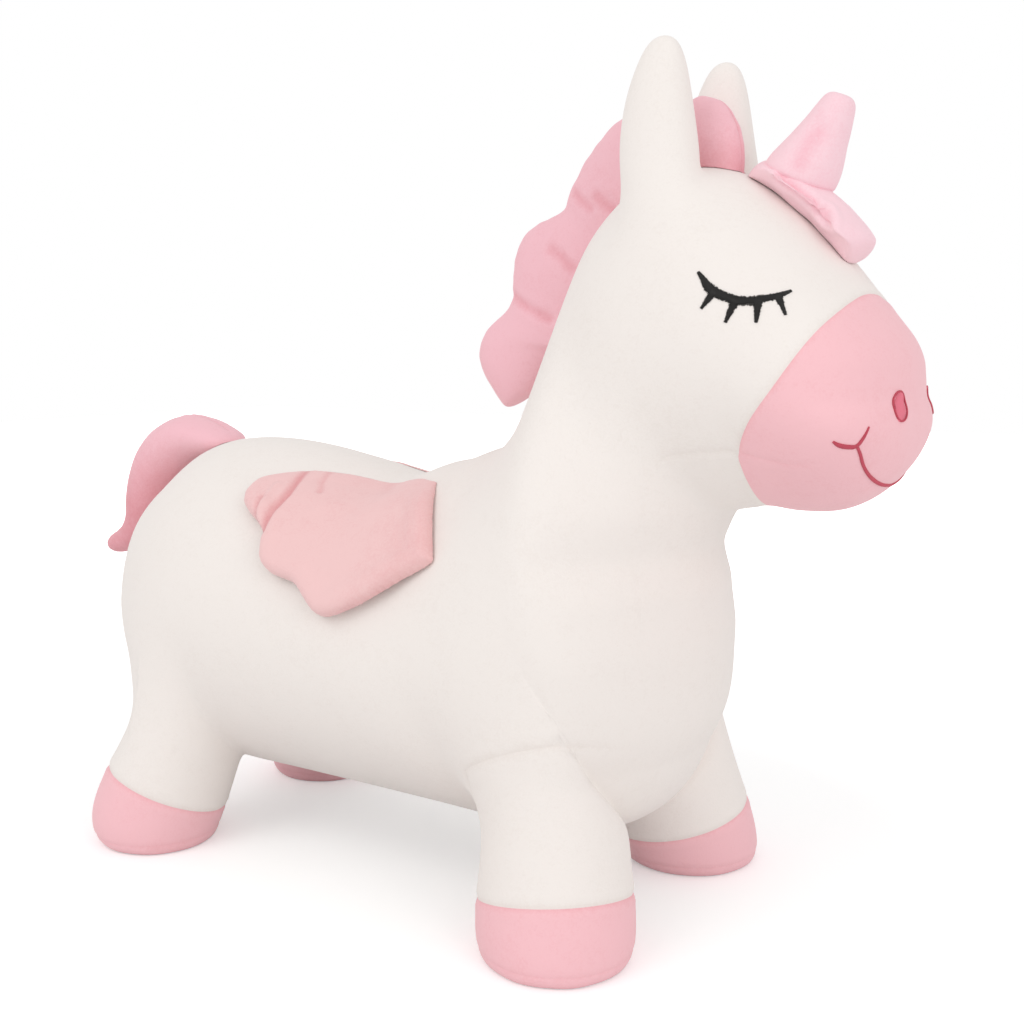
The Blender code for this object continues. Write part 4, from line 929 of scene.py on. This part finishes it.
def makePillow(outline, cell):  # a flat outline filled with cells: its places, its rim and its faces
    low, high = outline.min(0) - cell, outline.max(0) + cell
    count = np.ceil((high - low) / cell).astype(int)
    sheet = bmesh.new()
    bmesh.ops.create_grid(sheet, x_segments=count[0], y_segments=count[1], size=0.5)
    for v in sheet.verts:
        v.co = (low[0] + (v.co.x + 0.5) * (high - low)[0], 0, low[1] + (v.co.y + 0.5) * (high - low)[1])
    layer = sheet.faces.layers.int.new("panel")
    sew(sheet, layer, 0, 1, lambda p: polygonField(p, [tuple(q) for q in outline]))
    bmesh.ops.delete(sheet, geom=[f for f in sheet.faces if f[layer] == 0], context="FACES")
    sheet.verts.index_update()
    places = np.array([(v.co.x, v.co.z) for v in sheet.verts])
    rim = np.array([v.is_boundary for v in sheet.verts])
    faces = [[v.index for v in f.verts] for f in sheet.faces]
    sheet.free()
    return places, rim, faces


def makeWings():
    metric = np.array((size["torsoLength"], math.pi * wing["radius"] * mm))
    outline = cornersCut(np.array(wing["outline"]) * metric)
    places, rim, faces = makePillow(outline, wing["cell"] * mm)
    inward = pathDistance(places, np.vstack((outline[-1], outline)))
    bulge = np.sqrt(1 - (1 - np.minimum(inward / (wing["rim"] * mm), 1)) ** 2)
    bulge[rim] = 0
    lift = wing["thickness"] * mm * bulge
    lift -= wing["hollow"] * mm * smoothStep((inward - wing["hollowFrom"] * mm) / (wing["hollowOver"] * mm))
    mark = np.zeros(len(places))
    for line, depth, width in wing["folds"]:
        sunk = bell(pathDistance(places, np.array(line) * metric), width * mm)
        lift -= depth * mm * sunk * np.minimum(bulge + wing["creaseEdge"], 1)
        # painted shade in the folds, darker in deeper folds
        mark = np.maximum(mark, sunk * max(min(depth / wing["darkestDepth"], 1), 0))
    lift = np.maximum(lift, wing["thinnest"] * wing["thickness"] * mm * bulge)
    forward, turns = (places / metric).T

    def ramp(value, name):
        return smoothStep((value - wing[name + "From"]) / (wing[name + "To"] - wing[name + "From"]))

    top = wing["topShare"] + (1 - wing["topShare"]) * ramp(turns, "top")  # thin where it is sewn over the back
    lift = (lift + wing["base"] * wing["thickness"] * mm) * top
    mark = np.maximum(mark, wing["rimShade"] * ramp(turns, "rim") * ramp(forward, "frontShade") * (1 - bulge))
    # darker towards the front edge
    mark = np.maximum(mark, wing["frontTint"] * ramp(forward, "tint"))
    loose = smoothStep((wing["frontX"] - forward) / wing["frontOver"])
    stand = wing["standOff"] * mm * ramp(turns, "stand") * loose
    inner = np.cumsum(~rim) - 1 + len(places)
    back = np.where(rim, np.arange(len(places)), inner)
    fronts, backs = [], []
    for (x, y), up, base, edge in zip(places, lift, stand, rim):
        place, out = flank(x / metric[0], y / metric[1])
        fronts.append(place + out * (size["gap"] + base + up))
        if not edge:
            backs.append(place + out * (size["gap"] + base))
    allFaces = faces + [[back[k] for k in reversed(f)] for f in faces]
    marks = list(mark) + [0] * len(backs)
    for side, label in ((1, "right"), (-1, "left")):
        shape = bmesh.new()
        data = bpy.data.meshes.new("wing")
        data.from_pydata([Vector((p.x, side * p.y, p.z)) for p in fronts + backs], [], allFaces)
        paintShade(data, marks)
        shape.from_mesh(data)
        bmesh.ops.recalc_face_normals(shape, faces=shape.faces)
        data = meshOf(shape, "wing")
        ripple(data, *wing["ripple"])
        item = piece("wing_" + label, data, "dusty_pink_plush", body=None)
        hinge = next(joint for joint in frame["joints"] if joint["name"] == "wing_" + label + "_lift")
        place, axis = Vector(hinge["pos_m"]), Vector(hinge["axis"])
        back = axis.cross(onSkin(place)[1]).normalized()
        back *= -math.copysign(1, back.x)
        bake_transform(item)


horn = {
    "padWidth": 48, "padThickness": 17, "height": 42, "diameter": 37, "levels": 4,
    "edgeLift": 8.0, "edgeReach": 14, "edgeFrom": 8, "edgeOver": 13, "padRipple": (0.5, 60), "hornRipple": (0.5, 55),
    "padFoot": (0.52, 0.945), "padTip": (0.83, 0.645),
    "pad": ((-0.06, 0.30, 0.24), (0.07, 0.72, 0.40), (0.26, 0.96, 0.62), (0.44, 0.84, 0.76), (0.57, 0.76, 0.76),
            (0.70, 0.92, 0.72), (0.80, 0.78, 0.64), (0.87, 0.40, 0.58)),
    "foot": (0.25, 1.15), "way": Vector((0.40, 0, 0.92)),
    "horn": ((-0.16, 1.0, -4.2), (0.0, 1.03, -3.4), (0.20, 0.92, -2.0), (0.45, 0.72, -0.8), (0.70, 0.565, -0.3),
             (0.85, 0.48, 0), (0.94, 0.39, 0), (0.985, 0.20, 0)),  # way up, size, set back
    "padCreases": ((((264, -23, 371), (264, -20, 377), (262, -18, 381)), 3.2, 2.6),
                   (((261, -19, 379), (258, -19, 383), (254, -19, 388), (250, -20, 392), (246, -20, 395),
                     (240, -20, 399)), 2.0, 2.6),
                   (((248, -20, 394), (245, -20, 396)), 0.9, 1.6), (((257, -19, 385), (255, -19, 387)), 0.9, 1.5)),
    "hornCreases": ((((249, -18, 406), (252, -14, 415), (256, -12, 420)), 0.5, 4.5),),
}


def makeHorn():
    foot = head(*horn["padFoot"])
    span = head(*horn["padTip"]) - foot
    lift = Vector((-span.z, 0, span.x)).normalized() * horn["padThickness"] * mm
    rings = [ellipse(foot + span * u + lift * up, lift / 2, Vector((0, wide * horn["padWidth"] * mm / 2, 0)))
             for u, wide, up in horn["pad"]]
    data = loft(rings, horn["levels"])
    for v in data.vertices:  # its edges stand off the head
        place, out = onSkin(v.co)
        close = smoothStep(1 - (v.co - place).length / (horn["edgeReach"] * mm))
        aside = smoothStep((abs(v.co.y) / mm - horn["edgeFrom"]) / horn["edgeOver"])
        v.co += out * horn["edgeLift"] * mm * close * aside
    press(data, horn["padCreases"])
    ripple(data, *horn["padRipple"])
    piece("horn_pad", data, "pale_pink_plush")
    foot = foot + span * horn["foot"][0] + lift * horn["foot"][1]
    up = horn["way"].normalized()
    fore = Vector((up.z, 0, -up.x))
    rings = []
    for u, grow, aside in horn["horn"]:
        radius = grow * horn["diameter"] * mm / 2
        middle = foot + (up * u * horn["height"] + fore * aside) * mm
        rings.append(ellipse(middle, fore * radius, Vector((0, radius, 0))))
    data = loft(rings, horn["levels"])
    press(data, horn["hornCreases"])
    ripple(data, *horn["hornRipple"])
    piece("horn", data, "pale_pink_plush")


makeMane()
makeTail()
makeWings()
makeHorn()
print("padded pieces made")


# sewing: threads laid along lines on the skin
def makeSewingTree():
    tree, got, out = newGroup("sewing", (
        ("Geometry", "NodeSocketGeometry", None), ("Pitch", "NodeSocketFloat", 0.4 * mm),
        ("Half Along", "NodeSocketFloat", 0.3 * mm), ("Half Height", "NodeSocketFloat", 0.35 * mm),
        ("Raise", "NodeSocketFloat", 0.1 * mm), ("Ragged", "NodeSocketFloat", 0.1), ("Seed", "NodeSocketInt", 3),
        ("Material", "NodeSocketMaterial", None)), (("Geometry", "NodeSocketGeometry"),), "GeometryNodeTree")
    line = put(tree, "GeometryNodeMeshToCurve", (("Mesh", got.outputs["Geometry"]),))
    even = put(tree, "GeometryNodeResampleCurve", (("Curve", line.outputs[0]), ("Length", got.outputs["Pitch"])),
               mode="LENGTH")
    outward, half = (put(tree, "GeometryNodeInputNamedAttribute", (("Name", name),), data_type=kind).outputs[0]
                     for name, kind in (("outward", "FLOAT_VECTOR"), ("halfWidth", "FLOAT")))
    lift = put(tree, "ShaderNodeVectorMath", ((0, outward), ("Scale", got.outputs["Raise"])), operation="SCALE")
    raised = put(tree, "GeometryNodeSetPosition", (("Geometry", even.outputs[0]), ("Offset", lift.outputs[0])))
    thread = put(tree, "GeometryNodeMeshUVSphere", (("Segments", 6), ("Rings", 5), ("Radius", 1.0)))
    up = put(tree, "FunctionNodeAlignRotationToVector", (("Vector", outward),), axis="Z")
    tangent = put(tree, "GeometryNodeInputTangent").outputs[0]
    turn = put(tree, "FunctionNodeAlignRotationToVector", (("Rotation", up.outputs[0]), ("Vector", tangent)), axis="X",
               pivot_axis="Z")
    low = math2(tree, "SUBTRACT", 1.0, got.outputs["Ragged"])
    random = put(tree, "FunctionNodeRandomValue", ((2, low), (3, 1.0), ("Seed", got.outputs["Seed"])),
                 data_type="FLOAT")
    wide = math2(tree, "MULTIPLY", half, random.outputs[1])
    scale = put(tree, "ShaderNodeCombineXYZ", (("X", got.outputs["Half Along"]), ("Y", wide),
                                               ("Z", got.outputs["Half Height"])))
    laid = put(tree, "GeometryNodeInstanceOnPoints", (
        ("Points", raised.outputs[0]), ("Instance", thread.outputs["Mesh"]), ("Rotation", turn.outputs[0]),
        ("Scale", scale.outputs[0])))
    real = put(tree, "GeometryNodeRealizeInstances", (("Geometry", laid.outputs[0]),))
    done = put(tree, "GeometryNodeSetMaterial", (("Geometry", real.outputs[0]), ("Material", got.outputs["Material"])))
    tree.links.new(done.outputs[0], out.inputs[0])
    return tree


sewingTree = makeSewingTree()


def threadMesh(lines, slotName, pitch, half, height, raised, ragged, seed, tone=None, closed=False):
    places, outs, halves, edges = [], [], [], []
    for line in lines:
        start = len(places)
        for place, out, aside in line:
            places.append(place)
            outs += list(out)
            halves.append(aside)
        edges += [(i, i + 1) for i in range(start, len(places) - 1)]
        if closed:
            edges.append((len(places) - 1, start))
    data = bpy.data.meshes.new("line")
    data.from_pydata(places, edges, [])
    setValues(data, "outward", outs, "FLOAT_VECTOR", "vector")
    setValues(data, "halfWidth", halves)

    def addSteps(item):
        step = item.modifiers.new("Sewing", "NODES")
        step.node_group = sewingTree
        values = {"Pitch": pitch * mm, "Half Along": half * mm, "Half Height": height * mm, "Raise": raised * mm,
                  "Ragged": ragged, "Seed": seed, "Material": materials[slotName]}
        for socket in sewingTree.interface.items_tree:
            if socket.in_out == "INPUT" and socket.name in values:
                step[socket.identifier] = values[socket.name]

    done = evaluated("line", data, addSteps)
    if tone is not None:
        setValues(done, "tone", [tone] * len(done.vertices))
    return done


def skinLine(points, steps=5):  # a smooth line over the skin through points with half widths, in millimetres
    found = []
    for q in rounded(points, steps):
        place, out = onSkin(Vector(q[:3]) * mm + shift)
        found.append((place, out, q[3] * mm))
    return found


def mirrored(line):
    return [(Vector((p.x, -p.y, p.z)), Vector((n.x, -n.y, n.z)), w) for p, n, w in line]


face = {  # each point: x, y and z on the right side, and half the width of the thread band
    "lid": ((220, -68, 351.8, 1.0), (223, -69, 348.6, 2.1), (226, -70, 345, 3.2), (231, -70, 341.8, 3.2),
            (236, -69, 339.6, 3.0), (240, -68, 338.4, 3.3), (245, -67, 338.0, 3.2), (249, -64, 338.4, 3.0),
            (254, -61, 339.4, 2.5), (258, -58, 341.2, 1.8), (261, -55, 343.2, 0.9)),
    "lashes": (((229, -70, 342.5, 3.2), (226.5, -71, 338.6, 2.0), (224, -72, 334.8, 1.0)),
               ((239.5, -69, 338.5, 3.4), (237.6, -70, 333, 2.1), (236.2, -72, 328.4, 1.1)),
               ((249.2, -66, 338.5, 3.2), (249.8, -68, 332.6, 1.9), (249.9, -69, 328.2, 1.2)),
               ((256.5, -60, 340, 3.0), (259, -61, 335.2, 1.8), (261, -62, 331.2, 1.0))),
    "smile": ((293, -51, 272, 0.9), (294, -48, 268, 1.0), (294, -42, 262, 1.0), (294, -34, 257, 1.1),
              (295, -25, 252.4, 1.2), (296, -15, 249, 1.2), (296, 0, 247.2, 1.2)),
    "tick": ((285, -60, 274.5, 0.7), (287, -58, 272.8, 1.4), (290, -55.5, 271.8, 1.5), (293, -52, 272.2, 1.3),
             (295, -50.5, 276, 1.1), (297, -49, 281, 0.6)),
    "nostril": {"right": (303.5, -23, 289.5), "left": (295, -39, 288)},
    "nostrilRadius": (6.6, 8.8), "nostrilLean": 36, "rimPoints": 48, "rimAt": 0.93, "rimHalf": 0.6,
    "fillPoints": 25, "fillReach": 0.96, "fillWidth": 0.92,
    "stitch": {  # pitch, half length and half height of a thread, how far it stands off, raggedness, seed, tone
        "lashes": (0.36, 0.26, 0.55, 0.15, 0.3, 5), "tick": (0.36, 0.32, 0.5, 0.2, 0.1, 7, 0.6),
        "fill": (0.4, 0.34, 0.45, 0.15, 0.12, 9, -0.5), "rim": (0.36, 0.32, 0.55, 0.3, 0.1, 11, 0.8),
        "smile": (0.36, 0.32, 0.5, 0.2, 0.1, 13, 0.8)},
}


def makeNostril(label):
    middle, out = onSkin(Vector(face["nostril"][label]) * mm + shift)
    lean = Matrix.Rotation(-math.radians(face["nostrilLean"]), 3, out)
    across = (lean @ Vector((0, 0, 1)).cross(out)).normalized()
    up = out.cross(across)
    wide, tall = (r * mm for r in face["nostrilRadius"])
    ring, fill = [], []
    for k in range(face["rimPoints"]):
        turn = 2 * math.pi * k / face["rimPoints"]
        aside = across * face["rimAt"] * wide * math.cos(turn)
        ring.append((*onSkin(middle + aside + up * face["rimAt"] * tall * math.sin(turn)), face["rimHalf"] * mm))
    for k in range(face["fillPoints"]):
        s = -face["fillReach"] + 2 * face["fillReach"] * k / (face["fillPoints"] - 1)
        fill.append((*onSkin(middle + up * s * tall), face["fillWidth"] * wide * math.sqrt(1 - s * s)))
    return fill, ring


def makeFace():
    stitch = face["stitch"]
    for side, label in ((1, "right"), (-1, "left")):
        same = (lambda line: line) if side > 0 else mirrored
        lines = [same(skinLine(face["lid"], 8))] + [same(skinLine(line)) for line in face["lashes"]]
        data = threadMesh(lines, "dark_thread", *stitch["lashes"])
        piece("eye_lashes_" + label, data, "dark_thread")
        data = threadMesh([same(skinLine(face["tick"], 6))], "rose_thread", *stitch["tick"])
        piece("smile_tick_" + label, data, "rose_thread")
        fill, ring = makeNostril(label)
        joined = bmesh.new()
        joined.from_mesh(threadMesh([same(fill)], "rose_thread", *stitch["fill"]))
        joined.from_mesh(threadMesh([same(ring)], "rose_thread", *stitch["rim"], closed=True))
        piece("nostril_" + label, meshOf(joined, "nostril"), "rose_thread")
    half = skinLine(face["smile"], 6)
    data = threadMesh([half + mirrored(half)[-2::-1]], "rose_thread", *stitch["smile"])
    piece("smile", data, "rose_thread")


makeFace()
print("face embroidered")


# bladder, valve and zip
inside = {
    "bladderLevels": 1, "tapeEdge": 0.25, "edgeSteps": 3, "toothPitch": 1.55, "toothHalf": 0.5,
    "solids": {"soft_vinyl": ("valve_collar", "valve_plug"),
               "zip_metal": ("zip_stop_front", "zip_stop_rear", "zip_slider", "zip_pull")},
}


def makeInside():
    shape = bmesh.new()
    shape.from_mesh(frame["nodes"]["air_bladder"].data)
    bmesh.ops.remove_doubles(shape, verts=shape.verts, dist=weld)
    data = evaluated("bladder", meshOf(shape, "bladder"), lambda item: smoothing(item, inside["bladderLevels"]))
    piece("air_bladder", data, "soft_vinyl")
    for slotName, nodes in inside["solids"].items():
        for node in nodes:
            wear(frame["nodes"][node].data, slotName)
    for label in ("right", "left"):
        low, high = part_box("zip_tape_" + label)
        strip = bmesh.new()
        bmesh.ops.create_cube(strip, size=1)
        place = Matrix.Translation((low + high) / 2) @ Matrix.Diagonal((*(high - low), 1))
        bmesh.ops.transform(strip, matrix=place, verts=strip.verts)

        def addSteps(item):
            edge = item.modifiers.new("Edge", "BEVEL")
            edge.width = inside["tapeEdge"] * mm
            edge.segments = inside["edgeSteps"]

        data = evaluated("tape", meshOf(strip, "tape"), addSteps)
        piece("zip_tape_" + label, data, "zip_tape", smooth=False)
        low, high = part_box("zip_teeth_" + label)
        middle, half = (low + high) / 2, (high - low) / 2
        line = [(Vector((x, middle.y, middle.z)), Vector((0, 0, -1)), half.y) for x in (low.x, high.x)]
        data = threadMesh([line], "zip_nylon", inside["toothPitch"], inside["toothHalf"], half.z / mm, 0.0, 0.0, 1)
        piece("zip_teeth_" + label, data, "zip_nylon")


makeInside()
print("zip and valve made")


studio = {
    "camera": (0.4744, -0.6315, 0.32), "turn": 33.3, "pitch": 7.55, "nearest": 0.01,
    "focalPixels": 1291, "sensor": 36, "pixels": 1024,
    "floor": 4.0, "floorGrey": 0.86, "floorRoughness": 0.8, "floorShine": 0.1, "worldLight": 0.76,
    "glow": (("From Min", 0.3), ("From Max", 1.2), ("To Min", 0.3), ("To Max", 1.0)),
    "lights": (  # name, place, what it points at, width, power
        ("keyLight", (-0.5, -1.6, 1.5), (0, 0, 0.2), 1.4, 8.0),
        ("fillLight", (1.8, -0.9, 0.9), (0.1, 0, 0.25), 1.2, 6.5)),
}


def pointed(item, place, way):
    item.location = place
    item.rotation_mode = "QUATERNION"
    item.rotation_quaternion = way.to_track_quat("-Z", "Y")


def seenDirectly(tree):  # 1 for what the camera sees, also in a reflection or through glass
    path = put(tree, "ShaderNodeLightPath")
    return math2(tree, "MAXIMUM", path.outputs["Is Camera Ray"],
                 math2(tree, "MAXIMUM", path.outputs["Is Glossy Ray"], path.outputs["Is Transmission Ray"]))


def makeStage():
    turn, pitch = math.radians(studio["turn"]), math.radians(studio["pitch"])
    back = Vector((math.sin(turn) * math.cos(pitch), -math.cos(turn) * math.cos(pitch), math.sin(pitch)))
    camera = bpy.data.cameras.new("camera")
    camera.sensor_width = studio["sensor"]
    camera.lens = studio["focalPixels"] / studio["pixels"] * studio["sensor"]
    camera.clip_start = studio["nearest"]
    item = placed("camera", camera)
    pointed(item, studio["camera"], -back)
    bpy.context.scene.camera = item

    plane = bmesh.new()
    bmesh.ops.create_grid(plane, x_segments=1, y_segments=1, size=studio["floor"])
    floor = placed("floor", meshOf(plane, "floor"))
    material, tree, shader = newMaterial("pale_floor", studio["floorRoughness"])
    shader.inputs["Base Color"].default_value = (*[studio["floorGrey"]] * 3, 1)
    shader.inputs["Specular IOR Level"].default_value = studio["floorShine"]
    where = put(tree, "ShaderNodeTexCoord").outputs["Object"]
    far = put(tree, "ShaderNodeVectorMath", ((0, where),), operation="LENGTH").outputs["Value"]
    ramp = put(tree, "ShaderNodeMapRange", (("Value", far), *studio["glow"]))
    tree.links.new(math2(tree, "MULTIPLY", ramp.outputs[0], seenDirectly(tree)), shader.inputs["Emission Strength"])
    shader.inputs["Emission Color"].default_value = (1, 1, 1, 1)
    floor.data.materials.append(material)

    world = bpy.data.worlds.new("studio")
    bpy.context.scene.world = world
    world.use_nodes = True
    tree = world.node_tree
    strength = put(tree, "ShaderNodeMapRange", (("Value", seenDirectly(tree)), ("To Min", studio["worldLight"]),
                                                ("To Max", 1.0)))
    shade = tree.nodes["Background"]
    shade.inputs["Color"].default_value = (1, 1, 1, 1)
    tree.links.new(strength.outputs[0], shade.inputs["Strength"])

    for name, place, aim, wide, power in studio["lights"]:
        light = bpy.data.lights.new(name, "AREA")
        light.shape = "DISK"
        light.size = wide
        light.energy = power
        pointed(placed(name, light), place, Vector(aim) - Vector(place))
    bpy.context.scene.view_settings.view_transform = "Standard"


makeStage()
print("stage lit")
